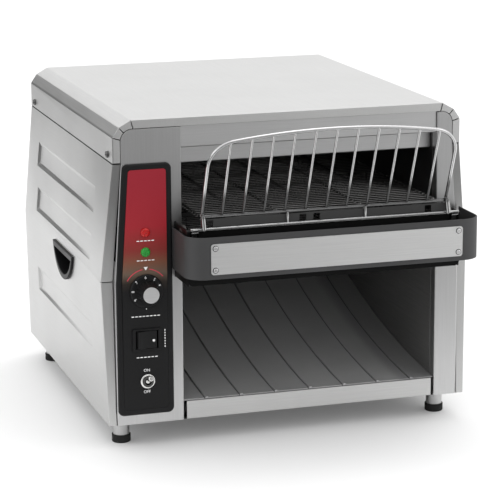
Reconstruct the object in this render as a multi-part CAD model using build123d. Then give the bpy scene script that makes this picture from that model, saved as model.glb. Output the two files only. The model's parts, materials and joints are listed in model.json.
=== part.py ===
from build123d import *
import math
import os

# Conveyor toaster: a counter-top toaster that carries slices through on a wire belt.
# Millimetres. X runs to the right, Y to the back, Z up. The feet stand on Z = 0 and the
# origin is under the middle of the whole toaster, rack and cord gland included.

os.makedirs("parts", exist_ok=True)

# ---------------------------------------------------------------- driving dimensions
# Casing
BODY_WIDTH = 368.0            # across the top cover
BODY_DEPTH = 387.0            # front face to back face
BODY_TOP = 338.0              # floor to the top of the cover
FOOT_HEIGHT = 26.3            # floor to the underside of the casing
COVER_DROP = 42.7             # height of the cover, down to its lower edge
TOP_FACET_RUN = 12.2          # upper of the two bevels along the cover's sides
TOP_FACET_DROP = 6.9
SIDE_FACET_RUN = 6.8          # lower bevel
SIDE_FACET_DROP = 9.9
CREASE_HEIGHT = 174.5         # floor to the crease in the side panels
CREASE_BULGE = 12.5           # crease outside the cover's side
FOOT_BULGE = 8.7              # lower edge of a side panel outside the cover's side
CREASE_SETBACK = 7.5          # how far the panel ends step in at the crease
RETURN_WIDTH = 8.5            # flange turned in round the front and the back
SHEET = 1.2                   # casing sheet
FRAME_SHEET = 1.5             # conveyor and cavity sheet
SEAM = 0.6                    # gap between the cover and the side panels
REVEAL = 0.5                  # gap round the front and back panels
FACE_TOP_INSET = 8.3          # how far the face narrows from the crease up to the cover
FACE_CORNER_RADIUS = 12.0
RELIEF_SLIT = 0.9             # saw cut at each bend of the flange
BACK_FLANGE = 12.0            # edge of the back panel, turned in
PAN_EDGE = 10.0               # edge of the floor, turned up
OVER = 1.0                    # how far a cutter runs past the face that it cuts

# Air slots
PAN_SLOTS = 6
PAN_SLOT_PITCH = 12.0
PAN_SLOT_WIDTH = 4.0
PAN_SLOT_LENGTH = 40.0
BACK_SLOTS = 9
BACK_SLOT_PITCH = 22.0
BACK_SLOT_WIDTH = 6.0
BACK_SLOT_LENGTH = 38.0
BACK_SLOT_HEIGHT = 263.0      # floor to the middle of the slots
INTAKE_SLOTS = 7
INTAKE_PITCH = 7.5
INTAKE_SLOT_WIDTH = 4.0
INTAKE_MARGIN = 3.0           # slots to the edge of the fan

# Front face
CONTROL_PILLAR = 70.0         # width of the pillar that carries the controls
PLAIN_PILLAR = 25.0           # width of the other pillar
PILLAR_DEPTH = 12.0           # depth of the folded pillars
HEADER_HEIGHT = 21.5          # visible height of the plate over the feed opening
HEADER_SETBACK = 1.0
BAFFLE_SETBACK = 18.0         # strip behind the header plate
BAFFLE_LOW = 289.0            # floor to the strip's lower edge
BAFFLE_FOLD = 8.0             # strip's lower edge, turned back

# Side embossing and grips
EMBOSS_HEIGHTS = (107.6, 199.5, 248.6)   # floor to the middle of each recess
EMBOSS_LENGTHS = (261.0, 261.0, 273.0)
EMBOSS_START = 61.0           # face to the front of each recess
EMBOSS_WIDTH = 27.0           # across the rim
EMBOSS_FLARE = 4.3            # rim to bed, all round
EMBOSS_FRONT_DEPTH = 1.1
EMBOSS_BACK_DEPTH = 2.6
GRIP_WIDTH = 92.0
GRIP_AHEAD = 18.6             # middle of the grip, ahead of the middle of the casing
GRIP_DROP = 33.5
GRIP_DEPTH = 24.0
GRIP_RIM = 4.0
GRIP_PROUD = 2.5
GRIP_WALL = 2.0
GRIP_EDGE = 0.9               # rounding of the grip's rim
GRIP_BELOW_CREASE = 0.3

# Conveyor
BELT_WIDTH = 258.0
BELT_HEIGHT = 243.0           # floor to the top of the belt
BELT_WIRE = 2.0
BELT_BEND = 19.0              # shaft centre to the middle of the belt wire
BELT_PITCH = 8.6              # strand to strand, adjusted to a whole number
BELT_JOINTS = (-122.0, -47.5, 47.5, 122.0)   # rows of hooks, from the belt's middle
IDLER_OUT = 21.6              # front shaft, ahead of the face
DRIVE_TO_BACK = 68.5          # rear shaft, ahead of the back
SHAFT_RADIUS = 5.0
RUNNING_FIT = 0.05            # radial clearance of a shaft in its bush
BUSH_WALL = 3.0
BUSH_FLANGE = 2.5
SHAFT_END = 1.0               # drive shaft past its bush
SHAFT_CHAMFER = 0.6
SHAFT_HOLE_CLEAR = 4.0        # drive shaft to the hole in a lining
PLATE_CLEAR = 13.5            # belt edge to the inside of a conveyor side plate
PLATE_HEIGHT = 56.5
PLATE_DROP = 66.0             # belt's top to the lower edge of the side plates
PLATE_TAIL = 28.0             # side plate behind the drive shaft
PLATE_FLANGE = 10.0           # lower edge of a side plate, turned out
NOSE_GAP = 3.0                # belt to the nose plate
NOSE_CORNER = 6.0
NOSE_RISE = 0.7               # nose plate over the belt
NOSE_TAB_HALF = 130.0         # half width of the raised middle of the nose plate
NOSE_BRIDGE = 1.5             # metal over a cut-out
NOSE_SLOTS = (-121.0, -24.5, -10.0, 109.0)   # cut-outs, from the middle
NOSE_SLOT_WIDTH = 7.0
NOSE_SLOT_HEIGHT = 7.5
SPROCKET_CLEAR = 0.4
SPROCKET_WIDTH = 8.0
SPROCKET_TEETH = 12
SPROCKET_TOOTH = 3.0
TOOTH_SHARE = 0.55            # root width of a tooth, against its pitch
SPROCKET_PLACES = (-96.0, -32.0, 32.0, 96.0)
SUPPORT_WIDTH = 3.0
SUPPORT_HEIGHT = 6.0
SUPPORT_PLACES = (-80.0, 0.0, 80.0)
SUPPORT_SHORT = 6.0           # support bars to the turn of the belt
SUPPORT_CROSS_INSET = 14.0    # cross members, in from the ends of the bars

# Heating
TUBE_RADIUS = 5.0
TUBE_HOLE_CLEAR = 0.4
UPPER_TUBE_HEIGHT = 303.0
UPPER_TUBE_COUNT = 4
LOWER_TUBE_COUNT = 3
TUBE_SPACING = 62.0
FIRST_TUBE = 40.0             # baffle to the first upper tube
HOOD_HEIGHT = 318.0
TUNNEL_BACK = 8.0             # tunnel to the back panel
CAP_RADIUS = 8.0
CAP_LENGTH = 12.0

# Chute and crumb tray
CHUTE_FRONT_HEIGHT = 46.9     # floor to the chute's front edge
CHUTE_FRONT_ANGLE = 3.6
CHUTE_LONG_SWEEP = 14.0
CHUTE_TIGHT_RADIUS = 130.0
CHUTE_TIGHT_SWEEP = 66.0
CHUTE_BACK = 41.7             # chute's upper edge to the back of the casing
CHUTE_SHEET = 1.2
RIB_PITCH = 37.3
RIB_COUNT = 7
RIB_WIDTH = 3.0
RIB_HEIGHT = 1.2
LIP_HEIGHT = 18.7             # front of the crumb tray
LIP_CLEAR = 3.0               # lip to the pillars
TRAY_WALL = 12.0
TRAY_TO_BACK = 47.0           # tray to the back of the casing
TRAY_INSET = 2.0              # pan sides inside the ends of the lip
SLIDE_GAP = 0.4
RUNNER_START = 4.0            # runners behind the pillars
RUNNER_DROP = 2.0             # runners lower than the tray's wall

# Bumper
BUMPER_OUT = 62.1             # face to the front of the bumper
BUMPER_LEFT = 11.0            # bumper past the left of the opening
BUMPER_RIGHT = 26.5           # bumper past the right of the opening
BUMPER_DROP = 57.0            # belt's top to the bumper's lower edge
BUMPER_HEIGHT = 42.5
BUMPER_RADIUS = 20.0
BUMPER_SHEET = 1.5
BADGE_LENGTH = 265.0          # bare plate on the bumper
BADGE_HEIGHT = 31.0
BADGE_THICK = 1.0
BADGE_CORNER = 3.0
BADGE_SCREW_INSET = 4.5
BADGE_DROP = 0.8              # plate under the bumper's middle
BADGE_SCREW_HEAD = 2.4
BADGE_SCREW_SHANK = 1.0
BADGE_SCREW_PROUD = 1.2
BADGE_SCREW_ROUND = 0.8
BRACKET_RISE = 9.0            # bumper's lower edge to the spacers
BRACKET_HEIGHT = 21.5
BRACKET_LENGTH = 20.0
BRACKET_TO_FACE = 10.0

# Feed rack
RACK_HALF = 128.5             # middle of the rack to the middle of a leg
RACK_RISE = 93.9              # foot wire to the crown, along the lean
RACK_LEAN = 22.6              # degrees, forwards
RACK_CORNER = 28.0
RACK_CROWN_RADIUS = 670.0
RACK_WIRE = 4.0
RACK_BAR = 3.0
RACK_BAR_PITCH = 21.6
RACK_BAR_COUNT = 11
RACK_SEAT_GAP = 0.3
RACK_ROD_DROP = 12.0          # foot wire to the rod that hooks over the nose
RACK_ROD = 3.6
RACK_TIE_HALF = 41.0
RACK_BARREL = 5.2
RACK_TIE = 2.8
RACK_BEAD = 0.25              # weld bead over the wire
RACK_TOE = 3.5                # run of a hook, forwards, down to the rod
RACK_ROD_SHORT = 1.0          # rod's ends to the conveyor side plates
CLIP_INSET = 2.0              # clips to the conveyor side plates
CLIP_LENGTH = 7.0
CLIP_HEIGHT = 8.0
CLIP_THICK = 0.2

# Controls
BEZEL_THICK = 3.0
BEZEL_TOP = 294.3
BEZEL_LOW = 36.5
BEZEL_TOP_WIDTH = 50.0
BEZEL_GAP = 11.0              # bezel to the feed opening
BEZEL_CORNER = 6.0
OVERLAY_INSET = 5.5
OVERLAY_THICK = 0.8
OVERLAY_GAP = 0.2
BEZEL_EDGE = 1.0              # bezel to the edge of the face, and its chamfer
CONTROL_X = -152.8            # middle line of the controls
RED_LAMP_HEIGHT = 225.0
GREEN_LAMP_HEIGHT = 205.0
LAMP_RADIUS = 4.9
LAMP_STEM = 3.8
LAMP_PROUD = 2.6
LAMP_ROUND = 2.4
LAMP_DEPTH = 14.0             # stem behind the face
DIAL_HEIGHT = 165.5
DIAL_RADIUS = 17.0
DIAL_SKIRT = 3.0
KNOB_RADIUS = 11.3
KNOB_TIP_RADIUS = 9.2
KNOB_LENGTH = 17.5
KNOB_CAP_RADIUS = 8.2
KNOB_FLUTE = 0.8
KNOB_FLUTES = 20
KNOB_WALL = 3.0               # knob in front of its spindle
CAP_PROUD = 0.4
CAP_BED = 1.0
CAP_EDGE = 0.3
SKIRT_EDGE = 1.2
FLUTE_END = 1.5               # flutes end this far above the skirt
SPINDLE_RADIUS = 3.0
SPINDLE_BUSH = 2.0            # wall of the spindle's bush
SPINDLE_SHORT = 1.0           # spindle to the end of its bore in the knob
SPINDLE_TAIL = 1.0            # spindle past its collar
COLLAR = 4.0                  # spindle's collar past its radius
COLLAR_THICK = 2.0
COLLAR_DEPTH = 15.0           # collar behind the face
COLLAR_ROOM = 0.4
CAN_RADIUS = 12.0
CAN_DEPTH = 20.0
ROCKER_HEIGHT = 115.0
ROCKER_FLANGE_WIDTH = 30.5
ROCKER_FLANGE_HEIGHT = 23.0
ROCKER_BUTTON_WIDTH = 22.6
ROCKER_BUTTON_HEIGHT = 18.0
ROCKER_TILT = 8.0
ROCKER_FLANGE_THICK = 1.5
ROCKER_FLANGE_EDGE = 1.5      # flange past the housing
ROCKER_DEPTH = 22.0           # housing behind the face
ROCKER_PIVOT_DEPTH = 4.0      # pivot behind the bezel's front
ROCKER_WELL = 5.0             # well behind the pivot
ROCKER_PROUD = 5.5            # middle of the button's face, ahead of the pivot
ROCKER_BACK = 2.0             # button behind the pivot
TOGGLE_HEIGHT = 71.7
TOGGLE_NUT_RADIUS = 7.4
TOGGLE_BUSH_RADIUS = 5.8
TOGGLE_BALL = 3.2
TOGGLE_LEVER = 17.0
TOGGLE_TIP_RADIUS = 2.7
TOGGLE_TILT = 24.0
TOGGLE_NECK = 1.3             # lever at its ball
TOGGLE_TIP_ROUND = 0.9
TOGGLE_NUT_THICK = 2.6
TOGGLE_NUT_EDGE = 0.8
TOGGLE_THREAD = 3.4           # bush ahead of the bezel
TOGGLE_BALL_BACK = 0.5        # ball's middle ahead of the bezel
TOGGLE_CASE_WIDTH = 14.0
TOGGLE_CASE_HEIGHT = 28.0
TOGGLE_CASE_DEPTH = 26.0

# Drive and cooling
MOTOR_DROP = 95.0             # drive shaft to the motor's shaft
MOTOR_SHAFT_RADIUS = 4.0
GEARBOX_WIDTH = 56.0
GEARBOX_DEPTH = 28.0
MOTOR_RADIUS = 24.0
MOTOR_LENGTH = 22.0
GEARBOX_CORNER = 6.0
SHAFT_IN_GEARBOX = 17.0
MOTOR_TO_CHAIN = 5.0
BRACKET_FOOT = 22.0
BRACKET_HOLE_CLEAR = 3.0
HUB_WALL = 4.0                # wall of a chain sprocket's hub
HUB_LENGTH = 2.5
CHAIN_WIDTH = 4.0
CHAIN_THICK = 3.0
CHAIN_TEETH = 14
CHAIN_TIP_RADIUS = 15.0
CHAIN_TOOTH = 2.4
CHAIN_CLEAR = 0.4
CHAIN_OFFSET = 5.0            # conveyor side plate to the chain
FAN_SIZE = 60.0
FAN_DEPTH = 25.0
FAN_HEIGHT = 105.0            # floor to the fan's middle
FAN_X = -150.0
FAN_BLADES = 7
FAN_CORNER = 4.0
FAN_WALL = 2.0
FAN_ARM_WIDTH = 3.0
FAN_BOSS = 9.0
FAN_BOSS_DEPTH = 3.0
FAN_PIN = 1.5
FAN_HUB = 11.0
FAN_TIP_GAP = 1.0
FAN_ROTOR_SHORT = 8.0         # rotor shorter than the frame
FAN_BLADE_THICK = 1.2
FAN_BLADE_CHORD = 13.0
FAN_BLADE_PITCH = 35.0
GLAND_HEIGHT = 52.0
GLAND_X = -150.0
GLAND_BORE = 4.5
GLAND_OUT = 12.0
GLAND_IN = 8.0                # gland behind the back panel's sheet
GLAND_WALL = 3.3
GLAND_HEAD_WALL = 5.5
GLAND_HEAD_ROUND = 3.0
GLAND_NUT_WALL = 6.5
GLAND_NUT_THICK = 5.9

# Feet and screws
FOOT_INSET_X = 11.4           # cover's side to the middle of a foot
FOOT_INSET_Y = 32.0           # face to the middle of a foot
SLEEVE_RADIUS = 8.5
PAD_RADIUS = 9.7
PAD_HEIGHT = 8.2
PAD_SOCKET = 1.2
SCREW_HEAD = 3.4
SCREW_PROUD = 2.4
SCREW_SHANK = 2.0
SCREW_CLEAR = 0.1
SCREW_ROUND = 1.4
SCREW_GRIP = 8.0              # shank behind the head
STUD_RADIUS = 3.0
STUD_RISE = 6.0               # stud over the casing floor
PAD_ROUND = 1.2
BACK_SCREW_RISE = 10.0        # casing's underside to the lower back screws
BACK_SCREW_DROP = 12.0        # top of the back to the upper ones
BACK_SCREW_INSET = 8.0
COVER_SCREW_INSET_Y = 20.0
COVER_SCREW_RISE = 6.5
SEAT = 0.3                    # gap at a seat that isn't face to face

# ---------------------------------------------------------------- places worked out
LEFT = -BODY_WIDTH / 2
RIGHT = BODY_WIDTH / 2
FACE_LOW_HALF = RIGHT
FACE_TOP_HALF = RIGHT - FACE_TOP_INSET
OPEN_LEFT = LEFT + CONTROL_PILLAR
OPEN_RIGHT = RIGHT - PLAIN_PILLAR
FEED_X = (OPEN_LEFT + OPEN_RIGHT) / 2
SEAM_Z = BODY_TOP - COVER_DROP
CREASE_HALF = RIGHT + CREASE_BULGE
LOW_HALF = RIGHT + FOOT_BULGE
FACE_TOP = BODY_TOP - RETURN_WIDTH - REVEAL

NOSE_OUT = IDLER_OUT + BELT_BEND + BELT_WIRE / 2 + NOSE_GAP + FRAME_SHEET
RACK_OUT = NOSE_OUT - FRAME_SHEET
RACK_REACH = RACK_OUT + RACK_RISE * math.sin(math.radians(RACK_LEAN)) + RACK_WIRE / 2
OVERALL_DEPTH = RACK_REACH + BODY_DEPTH + GLAND_OUT
FRONT = RACK_REACH - OVERALL_DEPTH / 2
BACK = FRONT + BODY_DEPTH
MIDDLE_Y = (FRONT + BACK) / 2
GRIP_Y = MIDDLE_Y - GRIP_AHEAD

SHAFT_Z = BELT_HEIGHT - BELT_WIRE / 2 - BELT_BEND
IDLER_Y = FRONT - IDLER_OUT
DRIVE_Y = BACK - DRIVE_TO_BACK
NOSE_Y = FRONT - NOSE_OUT
PLATE_LEFT = FEED_X - BELT_WIDTH / 2 - PLATE_CLEAR
PLATE_RIGHT = FEED_X + BELT_WIDTH / 2 + PLATE_CLEAR
PLATE_LOW = BELT_HEIGHT - PLATE_DROP
PLATE_TOP = PLATE_LOW + PLATE_HEIGHT
NOSE_TOP = BELT_HEIGHT + NOSE_RISE
BASE_TOP = FOOT_HEIGHT + SHEET
BELT_INSIDE = BELT_BEND - BELT_WIRE / 2

RACK_FOOT_Z = NOSE_TOP + RACK_SEAT_GAP + RACK_WIRE / 2
RACK_FOOT_Y = FRONT - RACK_OUT
ROD_Z = RACK_FOOT_Z - RACK_ROD_DROP
ROD_Y = NOSE_Y - SEAT - RACK_ROD / 2

BEZEL_FACE = FRONT - BEZEL_THICK
BEZEL_RIGHT = OPEN_LEFT - BEZEL_GAP
BUMPER_FACE = FRONT - BUMPER_OUT
BUMPER_LOW = BELT_HEIGHT - BUMPER_DROP
CHAIN_X = PLATE_LEFT - FRAME_SHEET - CHAIN_OFFSET
MOTOR_Z = SHAFT_Z - MOTOR_DROP
TRAY_LEFT = OPEN_LEFT + LIP_CLEAR + TRAY_INSET
TRAY_RIGHT = OPEN_RIGHT - LIP_CLEAR - TRAY_INSET
TRAY_BACK = BACK - TRAY_TO_BACK
TUNNEL_END = BACK - SHEET - TUNNEL_BACK
MOTOR_FACE = CHAIN_X - CHAIN_WIDTH / 2 - MOTOR_TO_CHAIN
KNOB_TIP = BEZEL_FACE - SEAT - DIAL_SKIRT - KNOB_LENGTH
FAN_BACK = BACK - SHEET - SEAT
FAN_FRONT = FAN_BACK - FAN_DEPTH

CHUTE_START_ANGLE = math.radians(CHUTE_FRONT_ANGLE)
CHUTE_KNEE_ANGLE = CHUTE_START_ANGLE + math.radians(CHUTE_LONG_SWEEP)
CHUTE_END_ANGLE = CHUTE_KNEE_ANGLE + math.radians(CHUTE_TIGHT_SWEEP)
CHUTE_START_Y = FRONT + SHEET + SEAT
CHUTE_TIGHT_RUN = CHUTE_TIGHT_RADIUS * (math.sin(CHUTE_END_ANGLE) - math.sin(CHUTE_KNEE_ANGLE))
CHUTE_LONG_RUN = BACK - CHUTE_BACK - CHUTE_START_Y - CHUTE_TIGHT_RUN
CHUTE_LONG_RADIUS = CHUTE_LONG_RUN / (math.sin(CHUTE_KNEE_ANGLE) - math.sin(CHUTE_START_ANGLE))


# ---------------------------------------------------------------- small helpers
def block(x, y, z):
    """A box between two corners, each given as a (low, high) pair."""
    size = (x[1] - x[0], y[1] - y[0], z[1] - z[0])
    middle = ((x[0] + x[1]) / 2, (y[0] + y[1]) / 2, (z[0] + z[1]) / 2)
    return Pos(*middle) * Box(*size)


def rod(axis, start, end, radius, at):
    """A cylinder along X, Y or Z; at holds the other two coordinates, in order."""
    length = end - start
    middle = (start + end) / 2
    if axis == "X":
        return Pos(middle, at[0], at[1]) * Rot(0, 90, 0) * Cylinder(radius, length)
    if axis == "Y":
        return Pos(at[0], middle, at[1]) * Rot(90, 0, 0) * Cylinder(radius, length)
    return Pos(at[0], at[1], middle) * Cylinder(radius, length)


def front_plane(y):
    """Sketch plane facing the front: local x is X and local y is Z."""
    return Plane(origin=(0, y, 0), x_dir=(1, 0, 0), z_dir=(0, -1, 0))


def side_plane(x):
    """Sketch plane facing right: local x is Y and local y is Z."""
    return Plane(origin=(x, 0, 0), x_dir=(0, 1, 0), z_dir=(1, 0, 0))


def outline(points):
    """A flat face from its corner points."""
    return make_face(Polyline(*points, close=True))


def from_front(face, y):
    """Extrude a face drawn in X and Z between two Y values."""
    return extrude(front_plane(y[1]) * face, y[1] - y[0])


def from_side(face, x):
    """Extrude a face drawn in Y and Z between two X values."""
    return extrude(side_plane(x[0]) * face, x[1] - x[0])


def rounded(x, z, radius):
    """A rectangle in X and Z with rounded corners."""
    face = RectangleRounded(x[1] - x[0], z[1] - z[0], radius)
    return Pos((x[0] + x[1]) / 2, (z[0] + z[1]) / 2) * face


def mirrored(shape):
    """The same shape on the other side of the middle."""
    return mirror(shape, about=Plane.YZ)


def group(shapes):
    """Separate solids kept together in one node."""
    return Compound(children=list(shapes))


def save(shape, node):
    """Write one node."""
    export_step(shape, f"parts/{node}.step")


# ---------------------------------------------------------------- casing
def cover_outline(inset):
    """Half section of the cover, as drawn from the front, moved in by a distance."""
    half = RIGHT - inset
    top = BODY_TOP - inset
    knee = half - SIDE_FACET_RUN
    flat = knee - TOP_FACET_RUN
    low = top - TOP_FACET_DROP
    return [(half, low - SIDE_FACET_DROP), (knee, low), (flat, top)]


def face_outline(low, top, grow):
    """Outline shared by the front and back openings in the casing."""
    side = FACE_LOW_HALF + grow
    upper = FACE_TOP_HALF + grow
    points = [(side, low), (side, CREASE_HEIGHT), (upper, SEAM_Z), (upper, top)]
    other = [(-x, z) for x, z in reversed(points)]
    face = outline(points + other)
    corners = face.vertices().sort_by(Axis.Y)[-2:]
    return fillet(corners, FACE_CORNER_RADIUS + grow)


def relief_slits(side):
    """Thin cuts where the end flange crosses each bend of the cover."""
    points = [(RIGHT, SEAM_Z)] + cover_outline(0) + [(0, BODY_TOP)]
    cuts = []
    for before, bend, after in zip(points, points[1:], points[2:]):
        first = math.atan2(bend[1] - before[1], bend[0] - before[0])
        second = math.atan2(after[1] - bend[1], after[0] - bend[0])
        across = math.degrees((first + second) / 2) + 90
        cut = Rectangle(2 * (RETURN_WIDTH + OVER), RELIEF_SLIT)
        cuts.append(Pos(side * bend[0], bend[1]) * Rot(0, 0, side * across) * cut)
    return cuts


def top_cover():
    """Folded cover with two bevels along each side and a flange round both ends."""
    half = [(RIGHT, SEAM_Z)] + cover_outline(0)
    hull = outline(half + [(-x, z) for x, z in reversed(half)])
    inner = [(RIGHT - SHEET, SEAM_Z - SHEET)] + cover_outline(SHEET)
    hollow = outline(inner + [(-x, z) for x, z in reversed(inner)])
    shell = from_front(hull, (FRONT, BACK))
    shell -= from_front(hollow, (FRONT + SHEET, BACK - SHEET))
    window = face_outline(SEAM_Z - SHEET, FACE_TOP + REVEAL, REVEAL)
    shell -= from_front(window, (FRONT - OVER, BACK + OVER))
    for side in (1, -1):
        for cut in relief_slits(side):
            shell -= from_front(cut, (FRONT - OVER, FRONT + SHEET))
            shell -= from_front(cut, (BACK - SHEET, BACK + OVER))
        for y in cover_screw_rows():
            hole = (side * RIGHT - SHEET - OVER, side * RIGHT + SHEET + OVER)
            shell -= rod("X", *hole, SCREW_SHANK + SCREW_CLEAR, (y, cover_screw_height()))
    return shell


def cover_screw_rows():
    """Y of the screws along the cover's lower edge."""
    return (FRONT + COVER_SCREW_INSET_Y, BACK - COVER_SCREW_INSET_Y)


def cover_screw_height():
    """Height of the screws along the cover's lower edge."""
    return SEAM_Z + COVER_SCREW_RISE


def panel_ends(inset):
    """Side view of a side panel, whose ends step in at the crease."""
    low = FOOT_HEIGHT + inset
    top = SEAM_Z - SEAM
    front = FRONT + inset
    back = BACK - inset
    return outline([(front, low), (front + CREASE_SETBACK, CREASE_HEIGHT), (front, top),
                    (back, top), (back - CREASE_SETBACK, CREASE_HEIGHT), (back, low)])


def panel_wall_x(z):
    """Outside of the right side panel at a height."""
    if z < CREASE_HEIGHT:
        share = (z - FOOT_HEIGHT) / (CREASE_HEIGHT - FOOT_HEIGHT)
        return LOW_HALF + (CREASE_HALF - LOW_HALF) * share
    share = (z - CREASE_HEIGHT) / (SEAM_Z - CREASE_HEIGHT)
    return CREASE_HALF + (RIGHT - CREASE_HALF) * share


def panel_tilt(z):
    """Lean of the right side panel's wall at a height, in degrees."""
    run = panel_wall_x(z + SHEET) - panel_wall_x(z - SHEET)
    return math.degrees(math.atan2(run, 2 * SHEET))


def emboss(height, length, grow):
    """Recess with flared walls, deeper at its back; grow makes the sheet that lines it."""
    y = (FRONT + EMBOSS_START - grow, FRONT + EMBOSS_START + length + grow)
    half = EMBOSS_WIDTH / 2 + grow
    outside = 0 if grow == 0 else -SHEET / 2
    rim = outline([(outside, y[0], -half), (outside, y[1], -half),
                   (outside, y[1], half), (outside, y[0], half)])
    bed_y = (y[0] + EMBOSS_FLARE, y[1] - EMBOSS_FLARE)
    bed_half = half - EMBOSS_FLARE
    depths = (-EMBOSS_FRONT_DEPTH - grow, -EMBOSS_BACK_DEPTH - grow)
    bed = outline([(depths[0], bed_y[0], -bed_half), (depths[1], bed_y[1], -bed_half),
                   (depths[1], bed_y[1], bed_half), (depths[0], bed_y[0], bed_half)])
    solid = loft([rim, bed], ruled=True)
    if grow == 0:
        solid += block((0, OVER), y, (-half, half))
    return Pos(panel_wall_x(height), 0, height) * Rot(0, panel_tilt(height), 0) * solid


def grip_face(grow):
    """Segment of a circle with its straight edge on top, drawn in Y and Z."""
    half = GRIP_WIDTH / 2 + grow
    top = CREASE_HEIGHT - GRIP_BELOW_CREASE + grow
    low = CREASE_HEIGHT - GRIP_BELOW_CREASE - GRIP_DROP - grow
    arc = ThreePointArc((GRIP_Y + half, top), (GRIP_Y, low), (GRIP_Y - half, top))
    return make_face([arc, Line((GRIP_Y - half, top), (GRIP_Y + half, top))])


def right_side_panel():
    """Creased side panel with flanged ends, three recesses and the grip's hole."""
    top = SEAM_Z - SEAM
    inner_low = FACE_LOW_HALF + REVEAL
    inner_top = FACE_TOP_HALF + REVEAL
    outer = [(LOW_HALF, FOOT_HEIGHT), (CREASE_HALF, CREASE_HEIGHT), (panel_wall_x(top), top)]
    inner = [(inner_top, top), (inner_low, CREASE_HEIGHT), (inner_low, FOOT_HEIGHT)]
    hull = from_front(outline(outer + inner), (FRONT, BACK))
    hull &= from_side(panel_ends(0), (inner_top, CREASE_HALF + OVER))
    back_of_wall = [(LOW_HALF - SHEET, BASE_TOP), (CREASE_HALF - SHEET, CREASE_HEIGHT),
                    (panel_wall_x(top) - SHEET, top + SHEET)]
    far = inner_top - GRIP_DEPTH
    deep = [(far, top + SHEET), (far, BASE_TOP)]
    hollow = from_front(outline(back_of_wall + deep), (FRONT, BACK))
    within = from_side(panel_ends(SHEET), (far - OVER, CREASE_HALF))
    within += block((far - OVER, CREASE_HALF), (FRONT + SHEET, BACK - SHEET),
                    (top - SHEET, top + 2 * SHEET))
    panel = hull - (hollow & within)
    for height, length in zip(EMBOSS_HEIGHTS, EMBOSS_LENGTHS):
        panel += emboss(height, length, SHEET)
    for height, length in zip(EMBOSS_HEIGHTS, EMBOSS_LENGTHS):
        panel -= emboss(height, length, 0)
    panel -= from_side(grip_face(SEAT - GRIP_RIM), (FACE_LOW_HALF, CREASE_HALF + OVER))
    slit = block((inner_low - OVER, CREASE_HALF), (FRONT - OVER, FRONT + CREASE_SETBACK + 2 * SHEET),
                 (CREASE_HEIGHT - RELIEF_SLIT / 2, CREASE_HEIGHT + RELIEF_SLIT / 2))
    return panel - slit


def right_grip():
    """Moulded finger grip: a rim on the panel and a cup behind it."""
    rim = from_side(grip_face(0), (LOW_HALF - OVER, CREASE_HALF + GRIP_PROUD))
    low = CREASE_HEIGHT - GRIP_BELOW_CREASE - GRIP_DROP - OVER
    inside = LOW_HALF - 2 * OVER
    behind = outline([(inside, low), (panel_wall_x(low), low),
                      (CREASE_HALF, CREASE_HEIGHT), (inside, CREASE_HEIGHT)])
    rim -= from_front(behind, (FRONT, BACK))
    cup = from_side(grip_face(-GRIP_RIM), (CREASE_HALF - GRIP_DEPTH, CREASE_HALF))
    mouth = from_side(grip_face(-GRIP_RIM - GRIP_WALL),
                      (CREASE_HALF - GRIP_DEPTH + GRIP_WALL, CREASE_HALF + GRIP_PROUD + OVER))
    grip = rim + cup - mouth
    return fillet(grip.faces().sort_by(Axis.X)[-1].edges(), GRIP_EDGE)


def base_pan():
    """Floor of the casing with turned-up sides, foot holes and air slots."""
    half = FACE_LOW_HALF + REVEAL - SEAT
    front = FRONT + FRAME_SHEET + SEAT
    back = BACK - SHEET - SEAT
    pan = block((-half, half), (front, back), (FOOT_HEIGHT, BASE_TOP))
    for side in (-1, 1):
        edge = sorted((side * half, side * (half - SHEET)))
        pan += block(edge, (FRONT + PILLAR_DEPTH + SEAT, BACK - BACK_FLANGE - SEAT),
                     (FOOT_HEIGHT, BASE_TOP + PAN_EDGE))
    for x, y in foot_places():
        pan -= rod("Z", FOOT_HEIGHT - OVER, BASE_TOP + OVER, STUD_RADIUS + SCREW_CLEAR, (x, y))
    half = PAN_SLOT_WIDTH / 2
    for row in range(PAN_SLOTS):
        y = MIDDLE_Y + (row - (PAN_SLOTS - 1) / 2) * PAN_SLOT_PITCH
        pan -= block((CONTROL_X - PAN_SLOT_LENGTH / 2, CONTROL_X + PAN_SLOT_LENGTH / 2),
                     (y - half, y + half), (FOOT_HEIGHT - OVER, BASE_TOP + OVER))
    return pan


def back_panel():
    """Folded back with air slots, the fan's intake and the cord gland's hole."""
    panel = from_front(face_outline(FOOT_HEIGHT, FACE_TOP, 0), (BACK - BACK_FLANGE, BACK))
    panel -= from_front(face_outline(FOOT_HEIGHT - OVER, FACE_TOP - SHEET, -SHEET),
                        (BACK - BACK_FLANGE - OVER, BACK - SHEET))
    panel -= block((-RIGHT, RIGHT), (BACK - BACK_FLANGE - OVER, BACK - SHEET),
                   (FOOT_HEIGHT - OVER, BASE_TOP))
    through = (BACK - SHEET - OVER, BACK + OVER)
    for column in range(BACK_SLOTS):
        x = FEED_X + (column - (BACK_SLOTS - 1) / 2) * BACK_SLOT_PITCH
        slot = SlotOverall(BACK_SLOT_LENGTH, BACK_SLOT_WIDTH, rotation=90)
        panel -= from_front(Pos(x, BACK_SLOT_HEIGHT) * slot, through)
    for row in range(INTAKE_SLOTS):
        z = FAN_HEIGHT + (row - (INTAKE_SLOTS - 1) / 2) * INTAKE_PITCH
        reach = math.sqrt((FAN_SIZE / 2 - INTAKE_MARGIN) ** 2 - (z - FAN_HEIGHT) ** 2)
        slot = SlotOverall(2 * reach, INTAKE_SLOT_WIDTH)
        panel -= from_front(Pos(FAN_X, z) * slot, through)
    panel -= rod("Y", *through, GLAND_BORE + GLAND_WALL + 2 * SCREW_CLEAR,
                 (GLAND_X, GLAND_HEIGHT))
    for x, z in back_screw_places():
        panel -= rod("Y", *through, SCREW_SHANK + SCREW_CLEAR, (x, z))
    return panel


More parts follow.
